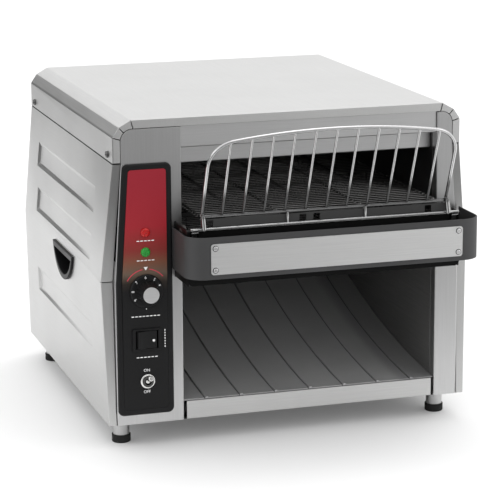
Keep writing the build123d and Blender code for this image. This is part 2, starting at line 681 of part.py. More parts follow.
def back_screw_places():
    """X and Z of the screws round the back panel."""
    low = FOOT_HEIGHT + BACK_SCREW_RISE
    high = FACE_TOP - BACK_SCREW_DROP
    side = FACE_TOP_HALF - BACK_SCREW_INSET
    return [(-side, low), (side, low), (-side, high), (side, high), (0, low), (0, high)]


def pillar(x, low, top):
    """Folded sheet upright of the front face, open at the back."""
    shape = block(x, (FRONT, FRONT + PILLAR_DEPTH), (low, top))
    inner = (x[0] + FRAME_SHEET, x[1] - FRAME_SHEET)
    behind = (FRONT + FRAME_SHEET, FRONT + PILLAR_DEPTH + OVER)
    shape -= block(inner, behind, (low - OVER, top + OVER))
    return shape - block((x[0] - OVER, x[1] + OVER), behind, (low - OVER, BASE_TOP))


def plate_slots():
    """Clearance for the conveyor side plates where they pass the front face."""
    cuts = []
    for x in ((PLATE_LEFT - FRAME_SHEET, PLATE_LEFT), (PLATE_RIGHT, PLATE_RIGHT + FRAME_SHEET)):
        cuts.append(block((x[0] - SEAT, x[1] + SEAT), (FRONT - OVER, FRONT + FRAME_SHEET + OVER),
                          (PLATE_LOW - SEAT, PLATE_TOP + SEAT)))
    return cuts


def control_pillar():
    """Left upright, with the holes that the controls pass through."""
    side = (-FACE_LOW_HALF, OPEN_LEFT)
    shape = pillar(side, FOOT_HEIGHT, FACE_TOP)
    shape &= from_front(face_outline(FOOT_HEIGHT, FACE_TOP, 0), (FRONT, FRONT + PILLAR_DEPTH))
    for cut in plate_slots() + control_holes(SEAT):
        shape -= cut
    return shape


def plain_pillar():
    """Right upright."""
    side = (OPEN_RIGHT, FACE_LOW_HALF)
    shape = pillar(side, FOOT_HEIGHT, FACE_TOP)
    shape &= from_front(face_outline(FOOT_HEIGHT, FACE_TOP, 0), (FRONT, FRONT + PILLAR_DEPTH))
    for cut in plate_slots():
        shape -= cut
    return shape


def header_plate():
    """Channel over the feed opening, hung under the cover."""
    x = (OPEN_LEFT + SEAT, OPEN_RIGHT - SEAT)
    low = FACE_TOP + REVEAL - HEADER_HEIGHT - REVEAL
    top = BODY_TOP - SHEET
    front = FRONT + HEADER_SETBACK + SHEET
    back = FRONT + PILLAR_DEPTH
    shape = block(x, (front, back), (low, top))
    return shape - block((x[0] - OVER, x[1] + OVER), (front + SHEET, back + OVER),
                         (low + SHEET, top - SHEET))


def feed_baffle():
    """Strip behind the header that keeps the heat in."""
    x = (OPEN_LEFT + SEAT, OPEN_RIGHT - SEAT)
    y = (FRONT + BAFFLE_SETBACK, FRONT + BAFFLE_SETBACK + SHEET)
    shape = block(x, y, (BAFFLE_LOW, HOOD_HEIGHT))
    return shape + block(x, (y[0], y[0] + BAFFLE_FOLD), (BAFFLE_LOW, BAFFLE_LOW + SHEET))


# ---------------------------------------------------------------- conveyor
def conveyor_plate(x, side):
    """Bearing plate beside the belt, from the nose to behind the rear shaft."""
    back = DRIVE_Y + PLATE_TAIL
    front = NOSE_Y + FRAME_SHEET
    face = Rectangle(back - front, PLATE_HEIGHT)
    corner = face.vertices().group_by(Axis.X)[0].sort_by(Axis.Y)[-1]
    face = fillet(corner, NOSE_CORNER)
    face = Pos((front + back) / 2, (PLATE_LOW + PLATE_TOP) / 2) * face
    span = (x, x + FRAME_SHEET)
    plate = from_side(face, span)
    hole = SHAFT_RADIUS + RUNNING_FIT + BUSH_WALL
    for y in (IDLER_Y, DRIVE_Y):
        plate -= rod("X", span[0] - OVER, span[1] + OVER, hole, (y, SHAFT_Z))
    outside = span[0] if side < 0 else span[1]
    lip = block(sorted((outside, outside + side * PLATE_FLANGE)),
                (FRONT + PILLAR_DEPTH + SEAT, DRIVE_Y - CHAIN_TIP_RADIUS - PLATE_FLANGE),
                (PLATE_LOW, PLATE_LOW + FRAME_SHEET))
    return plate + lip


def nose_plate():
    """Sheet across the front of the conveyor, cut away at its ends and slotted."""
    x = (PLATE_LEFT - FRAME_SHEET, PLATE_RIGHT + FRAME_SHEET)
    face = Rectangle(x[1] - x[0], PLATE_HEIGHT)
    face = fillet(face.vertices().group_by(Axis.Y)[0], NOSE_CORNER)
    face = Pos(FEED_X, (PLATE_LOW + PLATE_TOP) / 2) * face
    tab = (FEED_X - NOSE_TAB_HALF, FEED_X + NOSE_TAB_HALF)
    face += Pos(FEED_X, (PLATE_LOW + NOSE_CORNER + NOSE_TOP) / 2) * Rectangle(
        tab[1] - tab[0], NOSE_TOP - PLATE_LOW - NOSE_CORNER)
    for place in NOSE_SLOTS:
        middle = (FEED_X + place, NOSE_TOP - NOSE_BRIDGE - NOSE_SLOT_HEIGHT / 2)
        face -= Pos(*middle) * Rectangle(NOSE_SLOT_WIDTH, NOSE_SLOT_HEIGHT)
    plate = from_front(face, (NOSE_Y, NOSE_Y + FRAME_SHEET))
    shelf = block((x[0] + NOSE_CORNER, x[1] - NOSE_CORNER), (NOSE_Y, FRONT - SEAT),
                  (PLATE_LOW, PLATE_LOW + FRAME_SHEET))
    return plate + shelf


def strand_face(width):
    """One belt wire seen from above, with the hooks that reach the next wire."""
    half = BELT_WIRE / 2
    reach = loop_pitch() - BELT_WIRE / 2 - SEAT / 2
    wire = Rectangle(width, BELT_WIRE)
    for place in BELT_JOINTS:
        toward = 1 if place < 0 else -1
        foot = place + toward * BELT_WIRE
        wire += outline([(foot - half, 0), (place - half, reach),
                         (place + half, reach), (foot + half, 0)])
    return wire


def loop_length():
    """Length of the belt along the middle of its wire."""
    return 2 * (DRIVE_Y - IDLER_Y) + 2 * math.pi * BELT_BEND


def loop_count():
    """Whole number of strands round the loop."""
    return round(loop_length() / BELT_PITCH)


def loop_pitch():
    """Strand spacing that closes the loop exactly."""
    return loop_length() / loop_count()


def loop_place(travel):
    """Y, Z and lean of the belt at a distance along the loop."""
    run = DRIVE_Y - IDLER_Y
    turn = math.pi * BELT_BEND
    if travel < run:
        return (IDLER_Y + travel, SHAFT_Z + BELT_BEND, 0.0)
    if travel < run + turn:
        angle = (travel - run) / BELT_BEND
        return (DRIVE_Y + BELT_BEND * math.sin(angle),
                SHAFT_Z + BELT_BEND * math.cos(angle), -math.degrees(angle))
    if travel < 2 * run + turn:
        return (DRIVE_Y - (travel - run - turn), SHAFT_Z - BELT_BEND, -180.0)
    angle = (travel - 2 * run - turn) / BELT_BEND
    return (IDLER_Y - BELT_BEND * math.sin(angle),
            SHAFT_Z - BELT_BEND * math.cos(angle), -180.0 - math.degrees(angle))


def conveyor_belt():
    """Flat wire belt: every strand is its own wire, hooked towards the next."""
    strand = extrude(strand_face(BELT_WIDTH), BELT_WIRE / 2, both=True)
    strands = []
    for index in range(loop_count()):
        y, z, lean = loop_place(index * loop_pitch())
        strands.append(Pos(FEED_X, y, z) * Rot(lean, 0, 0) * strand)
    return group(strands)


def belt_support():
    """Bars under the upper run, on two cross members."""
    top = BELT_HEIGHT - BELT_WIRE - SEAT
    y = (FRONT + FRAME_SHEET + SEAT, DRIVE_Y - BELT_BEND - SUPPORT_SHORT)
    frame = None
    for place in SUPPORT_PLACES:
        x = (FEED_X + place - SUPPORT_WIDTH / 2, FEED_X + place + SUPPORT_WIDTH / 2)
        bar = block(x, y, (top - SUPPORT_HEIGHT, top))
        frame = bar if frame is None else frame + bar
    for middle in (y[0] + SUPPORT_CROSS_INSET, y[1] - SUPPORT_CROSS_INSET):
        frame += block((OPEN_LEFT, OPEN_RIGHT), (middle - SUPPORT_WIDTH, middle + SUPPORT_WIDTH),
                       (top - SUPPORT_HEIGHT, top - SUPPORT_HEIGHT / 2))
    return frame


def shaft_bushes():
    """Flanged bushes for both shafts, in both side plates."""
    bore = SHAFT_RADIUS + RUNNING_FIT
    bushes = []
    for y in (IDLER_Y, DRIVE_Y):
        for inside, side in ((PLATE_LEFT, 1), (PLATE_RIGHT, -1)):
            outside = inside - side * FRAME_SHEET
            flange = sorted((inside, inside + side * BUSH_FLANGE))
            body = rod("X", *sorted((inside, outside)), bore + BUSH_WALL, (y, SHAFT_Z))
            body += rod("X", *flange, bore + 2 * BUSH_WALL, (y, SHAFT_Z))
            through = (inside - 2 * BUSH_FLANGE, inside + 2 * BUSH_FLANGE)
            bushes.append(body - rod("X", *through, bore, (y, SHAFT_Z)))
    return group(bushes)


def toothed_face(root, tip, teeth):
    """Sprocket outline: a root circle with tapered teeth."""
    face = Circle(root)
    step = 360 / teeth
    base = root * math.radians(step) * TOOTH_SHARE
    for index in range(teeth):
        tooth = outline([(root - OVER, -base / 2), (tip, -base / 4), (tip, base / 4),
                         (root - OVER, base / 2)])
        face += Rot(0, 0, index * step) * tooth
    return face


def on_x(face, x, y, z):
    """Extrude a face drawn round the origin into a disc across X."""
    disc = extrude(face, (x[1] - x[0]) / 2, both=True)
    return Pos((x[0] + x[1]) / 2, y, z) * Rot(0, 90, 0) * disc


def belt_sprockets(y, teeth):
    """Wheels inside the belt; the rear ones have teeth, the front ones are plain."""
    tip = BELT_INSIDE - SPROCKET_CLEAR
    wheels = []
    for place in SPROCKET_PLACES:
        x = (FEED_X + place - SPROCKET_WIDTH / 2, FEED_X + place + SPROCKET_WIDTH / 2)
        face = toothed_face(tip - SPROCKET_TOOTH, tip, teeth) if teeth else Circle(tip)
        face -= Circle(SHAFT_RADIUS + RUNNING_FIT / 2)
        wheels.append(on_x(face, x, y, SHAFT_Z))
    return group(wheels)


def drive_shaft():
    """Rear shaft, longer on the left for the chain sprocket, with a flat there."""
    end = CHAIN_X - CHAIN_WIDTH
    shaft = rod("X", end, PLATE_RIGHT + FRAME_SHEET + SHAFT_END, SHAFT_RADIUS,
                (DRIVE_Y, SHAFT_Z))
    flat = block((end - OVER, CHAIN_X - CHAIN_WIDTH / 2 - HUB_LENGTH),
                 (DRIVE_Y - SHAFT_RADIUS, DRIVE_Y + SHAFT_RADIUS),
                 (SHAFT_Z + SHAFT_RADIUS - SHAFT_CHAMFER, SHAFT_Z + SHAFT_RADIUS + OVER))
    return shaft - flat


def idler_shaft():
    """Front shaft, with chamfered ends flush with the side plates."""
    start = PLATE_LEFT - FRAME_SHEET
    end = PLATE_RIGHT + FRAME_SHEET
    shaft = rod("X", start, end, SHAFT_RADIUS, (IDLER_Y, SHAFT_Z))
    return chamfer(shaft.edges().filter_by(GeomType.CIRCLE), SHAFT_CHAMFER)


def chain_sprocket(z, bore):
    """Sprocket for the drive chain, with a hub."""
    face = toothed_face(CHAIN_TIP_RADIUS - CHAIN_TOOTH, CHAIN_TIP_RADIUS, CHAIN_TEETH)
    x = (CHAIN_X - CHAIN_WIDTH / 2 + SEAT, CHAIN_X + CHAIN_WIDTH / 2 - SEAT)
    wheel = on_x(face, x, DRIVE_Y, z)
    wheel += rod("X", x[0] - HUB_LENGTH, x[1], bore + HUB_WALL, (DRIVE_Y, z))
    through = (x[0] - HUB_LENGTH - OVER, x[1] + OVER)
    return wheel - rod("X", *through, bore + RUNNING_FIT / 2, (DRIVE_Y, z))


def drive_chain():
    """Roller chain as a closed band round both sprockets."""
    inside = CHAIN_TIP_RADIUS + CHAIN_CLEAR
    span = SHAFT_Z - MOTOR_Z
    x = (CHAIN_X - CHAIN_WIDTH / 2, CHAIN_X + CHAIN_WIDTH / 2)
    face = SlotCenterToCenter(span, 2 * (inside + CHAIN_THICK))
    face -= SlotCenterToCenter(span, 2 * inside)
    band = on_x(face, x, 0, 0)
    return Pos(0, DRIVE_Y, (SHAFT_Z + MOTOR_Z) / 2) * band


# ---------------------------------------------------------------- heating
def upper_tube_rows():
    """Y of the heating tubes over the belt."""
    start = FRONT + BAFFLE_SETBACK + FIRST_TUBE
    return [start + index * TUBE_SPACING for index in range(UPPER_TUBE_COUNT)]


def lower_tube_rows():
    """Y of the heating tubes between the belt's runs."""
    middle = (IDLER_Y + DRIVE_Y) / 2
    return [middle + (index - (LOWER_TUBE_COUNT - 1) / 2) * TUBE_SPACING
            for index in range(LOWER_TUBE_COUNT)]


def cavity_wall(x):
    """Side lining of the heated tunnel, with holes for the shaft and the tubes."""
    span = (x, x + FRAME_SHEET)
    front = FRONT + PILLAR_DEPTH + SEAT
    wall = block(span, (front, TUNNEL_END), (BASE_TOP, HOOD_HEIGHT))
    through = (span[0] - OVER, span[1] + OVER)
    hole = TUBE_RADIUS + TUBE_HOLE_CLEAR
    for y in upper_tube_rows():
        wall -= rod("X", *through, hole, (y, UPPER_TUBE_HEIGHT))
    for y in lower_tube_rows():
        wall -= rod("X", *through, hole, (y, SHAFT_Z))
    return wall - rod("X", *through, SHAFT_RADIUS + SHAFT_HOLE_CLEAR, (DRIVE_Y, SHAFT_Z))


def upper_tubes():
    """Quartz heating tubes over the belt, through both linings."""
    x = (OPEN_LEFT - FRAME_SHEET - CAP_LENGTH, OPEN_RIGHT + FRAME_SHEET + CAP_LENGTH)
    return [rod("X", *x, TUBE_RADIUS, (y, UPPER_TUBE_HEIGHT)) for y in upper_tube_rows()]


def lower_tubes():
    """Quartz heating tubes between the belt's runs."""
    x = (OPEN_LEFT - FRAME_SHEET - SEAT, OPEN_RIGHT + FRAME_SHEET + SEAT)
    return [rod("X", *x, TUBE_RADIUS, (y, SHAFT_Z)) for y in lower_tube_rows()]


def tube_caps():
    """Ceramic ends of the upper tubes, outside the linings."""
    caps = []
    for y in upper_tube_rows():
        for start, side in ((OPEN_LEFT - FRAME_SHEET, -1), (OPEN_RIGHT + FRAME_SHEET, 1)):
            span = sorted((start, start + side * CAP_LENGTH))
            cap = rod("X", *span, CAP_RADIUS, (y, UPPER_TUBE_HEIGHT))
            hole = (span[0] - OVER, span[1] + OVER)
            caps.append(cap - rod("X", *hole, TUBE_RADIUS + SCREW_CLEAR, (y, UPPER_TUBE_HEIGHT)))
    return group(caps)


def heat_hood():
    """Reflector over the tunnel, folded down behind it."""
    x = (OPEN_LEFT - FRAME_SHEET, OPEN_RIGHT + FRAME_SHEET)
    front = FRONT + BAFFLE_SETBACK
    hood = block(x, (front, TUNNEL_END), (HOOD_HEIGHT, HOOD_HEIGHT + SHEET))
    low = chute_top() + SEAT
    inner = (OPEN_LEFT + SEAT, OPEN_RIGHT - SEAT)
    return hood + block(inner, (TUNNEL_END - SHEET, TUNNEL_END), (low, HOOD_HEIGHT))


# ---------------------------------------------------------------- chute and tray
def chute_section(outer, inner):
    """Side view of a strip along the chute between two distances under its surface."""
    along = (math.cos(CHUTE_START_ANGLE), math.sin(CHUTE_START_ANGLE))
    edges = []
    for depth in (inner, outer):
        start = (CHUTE_START_Y + depth * along[1], CHUTE_FRONT_HEIGHT - depth * along[0])
        long = JernArc(start, along, CHUTE_LONG_RADIUS + depth, CHUTE_LONG_SWEEP)
        tight = JernArc(long @ 1, long % 1, CHUTE_TIGHT_RADIUS + depth, CHUTE_TIGHT_SWEEP)
        edges.append((long, tight))
    (top_long, top_tight), (low_long, low_tight) = edges
    ends = [Line(top_long @ 0, low_long @ 0), Line(top_tight @ 1, low_tight @ 1)]
    return make_face([top_long, top_tight, low_long, low_tight] + ends)


def chute_top():
    """Height of the chute's upper rear edge."""
    rise = CHUTE_LONG_RADIUS * (math.cos(CHUTE_START_ANGLE) - math.cos(CHUTE_KNEE_ANGLE))
    rise += CHUTE_TIGHT_RADIUS * (math.cos(CHUTE_KNEE_ANGLE) - math.cos(CHUTE_END_ANGLE))
    return CHUTE_FRONT_HEIGHT + rise


def discharge_chute():
    """Curved slide that brings the toast back to the front, with ribs along it."""
    x = (OPEN_LEFT + SEAT, OPEN_RIGHT - SEAT)
    chute = from_side(chute_section(CHUTE_SHEET, 0), x)
    for index in range(RIB_COUNT):
        middle = FEED_X + (index - (RIB_COUNT - 1) / 2) * RIB_PITCH
        rib = (middle - RIB_WIDTH / 2, middle + RIB_WIDTH / 2)
        chute += from_side(chute_section(CHUTE_SHEET / 2, -RIB_HEIGHT), rib)
    return chute


def crumb_tray():
    """Shallow tray under the chute, drawn out by the lip across the front."""
    low = BASE_TOP + SLIDE_GAP
    pan = block((TRAY_LEFT, TRAY_RIGHT), (FRONT, TRAY_BACK), (low, low + TRAY_WALL))
    pan -= block((TRAY_LEFT + SHEET, TRAY_RIGHT - SHEET), (FRONT + SHEET, TRAY_BACK - SHEET),
                 (low + SHEET, low + TRAY_WALL + OVER))
    lip = block((OPEN_LEFT + LIP_CLEAR, OPEN_RIGHT - LIP_CLEAR), (FRONT, FRONT + SHEET),
                (BASE_TOP - SHEET / 2, BASE_TOP - SHEET / 2 + LIP_HEIGHT))
    return pan + lip


def tray_runners():
    """Angles on the casing floor that guide the tray."""
    y = (FRONT + PILLAR_DEPTH + RUNNER_START, TRAY_BACK)
    runners = []
    for x in ((TRAY_LEFT - SLIDE_GAP - SHEET, TRAY_LEFT - SLIDE_GAP),
              (TRAY_RIGHT + SLIDE_GAP, TRAY_RIGHT + SLIDE_GAP + SHEET)):
        runners.append(block(x, y, (BASE_TOP, BASE_TOP + TRAY_WALL - RUNNER_DROP)))
    return group(runners)


# ---------------------------------------------------------------- bumper
def bumper_band(inset, z):
    """Solid U seen from above, moved in by a distance."""
    x = (OPEN_LEFT - BUMPER_LEFT + inset, OPEN_RIGHT + BUMPER_RIGHT - inset)
    y = (BUMPER_FACE + inset, FRONT + inset)
    radius = BUMPER_RADIUS - inset
    face = Rectangle(x[1] - x[0], y[1] - y[0])
    face = fillet(face.vertices().group_by(Axis.Y)[0], radius)
    return Pos((x[0] + x[1]) / 2, (y[0] + y[1]) / 2, z[0]) * extrude(face, z[1] - z[0])


def badge_box():
    """X and Z limits of the bare plate on the bumper."""
    middle_x = (OPEN_LEFT - BUMPER_LEFT + OPEN_RIGHT + BUMPER_RIGHT) / 2
    middle_z = BUMPER_LOW + BUMPER_HEIGHT / 2 - BADGE_DROP
    return ((middle_x - BADGE_LENGTH / 2, middle_x + BADGE_LENGTH / 2),
            (middle_z - BADGE_HEIGHT / 2, middle_z + BADGE_HEIGHT / 2))


def badge_screw_places():
    """X and Z of the four screws of the plate."""
    x, z = badge_box()
    inset = BADGE_SCREW_INSET
    return [(x[0] + inset, z[0] + inset), (x[1] - inset, z[0] + inset),
            (x[0] + inset, z[1] - inset), (x[1] - inset, z[1] - inset)]


def bumper():
    """Sheet guard bent round the front of the conveyor."""
    z = (BUMPER_LOW, BUMPER_LOW + BUMPER_HEIGHT)
    band = bumper_band(0, z) - bumper_band(BUMPER_SHEET, (z[0] - OVER, z[1] + OVER))
    for x, height in badge_screw_places():
        band -= rod("Y", BUMPER_FACE - OVER, BUMPER_FACE + BUMPER_SHEET + OVER,
                    BADGE_SCREW_SHANK + SCREW_CLEAR, (x, height))
    return band


def bumper_plate():
    """Bare steel plate on the front of the bumper."""
    x, z = badge_box()
    plate = from_front(rounded(x, z, BADGE_CORNER), (BUMPER_FACE - BADGE_THICK, BUMPER_FACE))
    through = (BUMPER_FACE - BADGE_THICK - OVER, BUMPER_FACE + OVER)
    for place in badge_screw_places():
        plate -= rod("Y", *through, BADGE_SCREW_SHANK + SCREW_CLEAR, place)
    return plate


def bumper_plate_screws():
    """Small round-headed screws of the plate."""
    outside = BUMPER_FACE - BADGE_THICK
    screws = []
    for place in badge_screw_places():
        head = rod("Y", outside - BADGE_SCREW_PROUD, outside, BADGE_SCREW_HEAD, place)
        head = fillet(head.edges().group_by(Axis.Y)[0], BADGE_SCREW_ROUND)
        shank = rod("Y", outside, BUMPER_FACE + 2 * BUMPER_SHEET, BADGE_SCREW_SHANK, place)
        screws.append(head + shank)
    return group(screws)


def bumper_brackets():
    """Folded spacers that hold the bumper's arms on the conveyor side plates."""
    inner_left = OPEN_LEFT - BUMPER_LEFT + BUMPER_SHEET
    inner_right = OPEN_RIGHT + BUMPER_RIGHT - BUMPER_SHEET
    z = (BUMPER_LOW + BRACKET_RISE, BUMPER_LOW + BRACKET_RISE + BRACKET_HEIGHT)
    y = (FRONT - BRACKET_TO_FACE - BRACKET_LENGTH, FRONT - BRACKET_TO_FACE)
    brackets = []
    for x in ((inner_left, PLATE_LEFT - FRAME_SHEET), (PLATE_RIGHT + FRAME_SHEET, inner_right)):
        bracket = block(x, y, z)
        if x[1] - x[0] > 4 * FRAME_SHEET:
            bracket -= block((x[0] + FRAME_SHEET, x[1] - FRAME_SHEET),
                             (y[0] + FRAME_SHEET, y[1] + OVER), (z[0] - OVER, z[1] + OVER))
        brackets.append(bracket)
    return group(brackets)


# ---------------------------------------------------------------- feed rack
def rack_plane():
    """Sketch plane of the leaning rack: local x is X, local y runs up the lean."""
    lean = math.radians(RACK_LEAN)
    return Plane(origin=(FEED_X, RACK_FOOT_Y, RACK_FOOT_Z), x_dir=(1, 0, 0),
                 z_dir=(0, -math.cos(lean), -math.sin(lean)))


def rack_crown(u):
    """Height of the frame's top wire along the lean, at a distance from the middle."""
    centre = RACK_RISE - RACK_CROWN_RADIUS
    return centre + math.sqrt(RACK_CROWN_RADIUS ** 2 - u ** 2)


def rack_corner_centre():
    """Middle of the bend between a leg and the crown."""
    u = RACK_HALF - RACK_CORNER
    reach = RACK_CROWN_RADIUS - RACK_CORNER
    return (u, RACK_RISE - RACK_CROWN_RADIUS + math.sqrt(reach ** 2 - u ** 2))


def rack_top_at(u):
    """Where a bar at a distance from the middle meets the frame."""
    corner_u, corner_v = rack_corner_centre()
    slope = corner_u / (RACK_CROWN_RADIUS - RACK_CORNER)
    if abs(u) < slope * RACK_CROWN_RADIUS:
        return rack_crown(u)
    return corner_v + math.sqrt(RACK_CORNER ** 2 - (abs(u) - corner_u) ** 2)


def rack_frame():
    """Frame wire: two legs, two bends and the long crown."""
    corner_u, corner_v = rack_corner_centre()
    turn = math.degrees(math.asin(corner_u / (RACK_CROWN_RADIUS - RACK_CORNER)))
    leg = Line((-RACK_HALF, RACK_ROD_DROP / 3), (-RACK_HALF, corner_v))
    bend = JernArc(leg @ 1, (0, 1), RACK_CORNER, turn - 90)
    crown = JernArc(bend @ 1, bend % 1, RACK_CROWN_RADIUS, -2 * turn)
    back = JernArc(crown @ 1, crown % 1, RACK_CORNER, turn - 90)
    other = Line(back @ 1, (RACK_HALF, RACK_ROD_DROP / 3))
    path = rack_plane() * Wire([leg, bend, crown, back, other])
    return sweep(Plane(origin=path @ 0, z_dir=path % 0) * Circle(RACK_WIRE / 2), path=path)


def between(start, end, radius):
    """A cylinder between two points."""
    way = end - start
    disc = Plane(origin=start, z_dir=way) * Circle(radius)
    return extrude(disc, way.length)


def feed_rack():
    """Welded wire rack that leans forwards and hooks over the nose plate."""
    plane = rack_plane()
    rack = rack_frame()
    rack += rod("X", FEED_X - RACK_HALF, FEED_X + RACK_HALF, RACK_WIRE / 2,
                (RACK_FOOT_Y, RACK_FOOT_Z))
    for index in range(RACK_BAR_COUNT):
        u = (index - (RACK_BAR_COUNT - 1) / 2) * RACK_BAR_PITCH
        low = plane.from_local_coords((u, 0, 0))
        high = plane.from_local_coords((u, rack_top_at(u), 0))
        rack += between(low, high, RACK_BAR / 2)
    reach = BELT_WIDTH / 2 + PLATE_CLEAR - RACK_ROD_SHORT
    rack += rod("X", FEED_X - reach, FEED_X + reach, RACK_ROD / 2, (ROD_Y, ROD_Z))
    for side in (-1, 1):
        rack += rod("Z", ROD_Z, RACK_FOOT_Z + RACK_WIRE / 4, RACK_TIE / 2,
                    (FEED_X + side * RACK_TIE_HALF, ROD_Y + RACK_ROD / 2 - RACK_TIE / 2))
        knee = plane.from_local_coords((side * RACK_HALF, RACK_ROD_DROP / 3, 0))
        hook = Vector(knee.X, NOSE_Y - SEAT - RACK_BARREL / 2 - RACK_BEAD, RACK_FOOT_Z)
        toe = Vector(knee.X, hook.Y - RACK_TOE, ROD_Z)
        rack += between(knee, hook, RACK_WIRE / 2)
        rack += Pos(*knee) * Sphere(RACK_WIRE / 2 + RACK_BEAD)
        rack += between(hook, toe, RACK_BARREL / 2)
        rack += Pos(*hook) * Sphere(RACK_BARREL / 2 + RACK_BEAD)
        rack += rod("Y", toe.Y, ROD_Y, RACK_TIE / 2, (toe.X, toe.Z))
    return rack


def rack_clips():
    """Bright angles on the nose plate that carry the ends of the rack's rod."""
    clips = []
    for side in (-1, 1):
        end = FEED_X + side * (BELT_WIDTH / 2 + PLATE_CLEAR - CLIP_INSET)
        x = sorted((end, end - side * CLIP_LENGTH))
        top = ROD_Z - RACK_ROD / 2 - SEAT
        shelf = block(x, (ROD_Y - RACK_ROD / 2, NOSE_Y), (top - SHEET, top))
        back = block(x, (NOSE_Y - CLIP_THICK, NOSE_Y), (top - CLIP_HEIGHT, top))
        clips.append(shelf + back)
    return group(clips)


# ---------------------------------------------------------------- controls
def bezel_face(inset):
    """Tapered panel outline, moved in by a distance."""
    right = BEZEL_RIGHT - inset
    low = BEZEL_LOW + inset
    top = BEZEL_TOP - inset
    left_low = -FACE_LOW_HALF + BEZEL_EDGE + inset
    left_top = BEZEL_RIGHT - BEZEL_TOP_WIDTH + inset
    face = outline([(left_low, low), (right, low), (right, top), (left_top, top),
                    (left_low, CREASE_HEIGHT)])
    corners = face.vertices().filter_by(lambda v: abs(v.Y - CREASE_HEIGHT) > SEAT)
    return fillet(corners, BEZEL_CORNER - min(inset, BEZEL_CORNER / 2))


def control_holes(grow):
    """Cutters for everything that passes through the control panel."""
    y = (BEZEL_FACE - OVER, FRONT + PILLAR_DEPTH)
    cuts = [rod("Y", *y, LAMP_STEM + grow, (CONTROL_X, RED_LAMP_HEIGHT)),
            rod("Y", *y, LAMP_STEM + grow, (CONTROL_X, GREEN_LAMP_HEIGHT)),
            rod("Y", *y, SPINDLE_RADIUS + SPINDLE_BUSH + grow, (CONTROL_X, DIAL_HEIGHT)),
            rod("Y", *y, TOGGLE_BUSH_RADIUS + grow, (CONTROL_X, TOGGLE_HEIGHT))]
    half = ROCKER_FLANGE_WIDTH / 2 - ROCKER_FLANGE_EDGE + grow
    rise = ROCKER_FLANGE_HEIGHT / 2 - ROCKER_FLANGE_EDGE + grow
    cuts.append(block((CONTROL_X - half, CONTROL_X + half), y,
                      (ROCKER_HEIGHT - rise, ROCKER_HEIGHT + rise)))
    return cuts


def control_bezel():
    """Moulded surround of the controls, with a shallow bed for the printed panel."""
    bezel = from_front(bezel_face(0), (BEZEL_FACE, FRONT))
    bezel = chamfer(bezel.faces().sort_by(Axis.Y)[0].outer_wire().edges(), BEZEL_EDGE)
    bezel -= from_front(bezel_face(OVERLAY_INSET), (BEZEL_FACE - OVER, BEZEL_FACE + OVERLAY_THICK))
    for cut in control_holes(SCREW_CLEAR):
        bezel -= cut
    return bezel


def control_overlay():
    """Thin printed panel in the surround."""
    overlay = from_front(bezel_face(OVERLAY_INSET + OVERLAY_GAP),
                         (BEZEL_FACE, BEZEL_FACE + OVERLAY_THICK))
    for cut in control_holes(SCREW_CLEAR):
        overlay -= cut
    return overlay


def lamp(height):
    """Domed indicator lamp with its stem through the panel."""
    stem = rod("Y", BEZEL_FACE, FRONT + LAMP_DEPTH, LAMP_STEM, (CONTROL_X, height))
    dome = rod("Y", BEZEL_FACE - LAMP_PROUD, BEZEL_FACE, LAMP_RADIUS, (CONTROL_X, height))
    dome = fillet(dome.edges().group_by(Axis.Y)[0], LAMP_ROUND)
    return stem + dome


def speed_dial():
    """Skirted knob with a tapered, fluted grip and a bed for its bright cap."""
    back = BEZEL_FACE - SEAT
    skirt = back - DIAL_SKIRT
    profile = Polyline((0, back), (DIAL_RADIUS, back), (DIAL_RADIUS, skirt + SKIRT_EDGE),
                       (DIAL_RADIUS - SKIRT_EDGE, skirt), (KNOB_RADIUS, skirt),
                       (KNOB_TIP_RADIUS, KNOB_TIP), (0, KNOB_TIP), close=True)
    knob = revolve(make_face(profile), Axis.Y)
    knob -= rod("Y", KNOB_TIP - OVER, KNOB_TIP + CAP_BED, KNOB_CAP_RADIUS + SCREW_CLEAR, (0, 0))
    knob -= rod("Y", KNOB_TIP + KNOB_WALL, back + OVER, SPINDLE_RADIUS + RUNNING_FIT / 2, (0, 0))
    for index in range(KNOB_FLUTES):
        knob -= Rot(0, index * 360 / KNOB_FLUTES, 0) * knob_flute()
    return Pos(CONTROL_X, 0, DIAL_HEIGHT) * knob


def knob_flute():
    """Cutter for one shallow flute along the knob's taper."""
    taper = math.degrees(math.atan2(KNOB_RADIUS - KNOB_TIP_RADIUS, KNOB_LENGTH))
    half = KNOB_LENGTH / 2
    flute = rod("Y", -half - OVER, half - FLUTE_END, KNOB_FLUTE, (KNOB_FLUTE / 2, 0))
    return Pos((KNOB_RADIUS + KNOB_TIP_RADIUS) / 2, KNOB_TIP + half, 0) * (
        Rot(0, 0, -taper) * flute)


def dial_cap():
    """Bright disc in the front of the knob."""
    cap = rod("Y", KNOB_TIP - CAP_PROUD, KNOB_TIP + CAP_BED, KNOB_CAP_RADIUS,
              (CONTROL_X, DIAL_HEIGHT))
    return fillet(cap.edges().group_by(Axis.Y)[0], CAP_EDGE)


def dial_spindle():
    """Spindle of the speed control, with the collar that keeps it in."""
    at = (CONTROL_X, DIAL_HEIGHT)
    collar = FRONT + COLLAR_DEPTH
    spindle = rod("Y", KNOB_TIP + KNOB_WALL + SPINDLE_SHORT,
                  collar + COLLAR_THICK + SPINDLE_TAIL, SPINDLE_RADIUS, at)
    return spindle + rod("Y", collar, collar + COLLAR_THICK, SPINDLE_RADIUS + COLLAR, at)


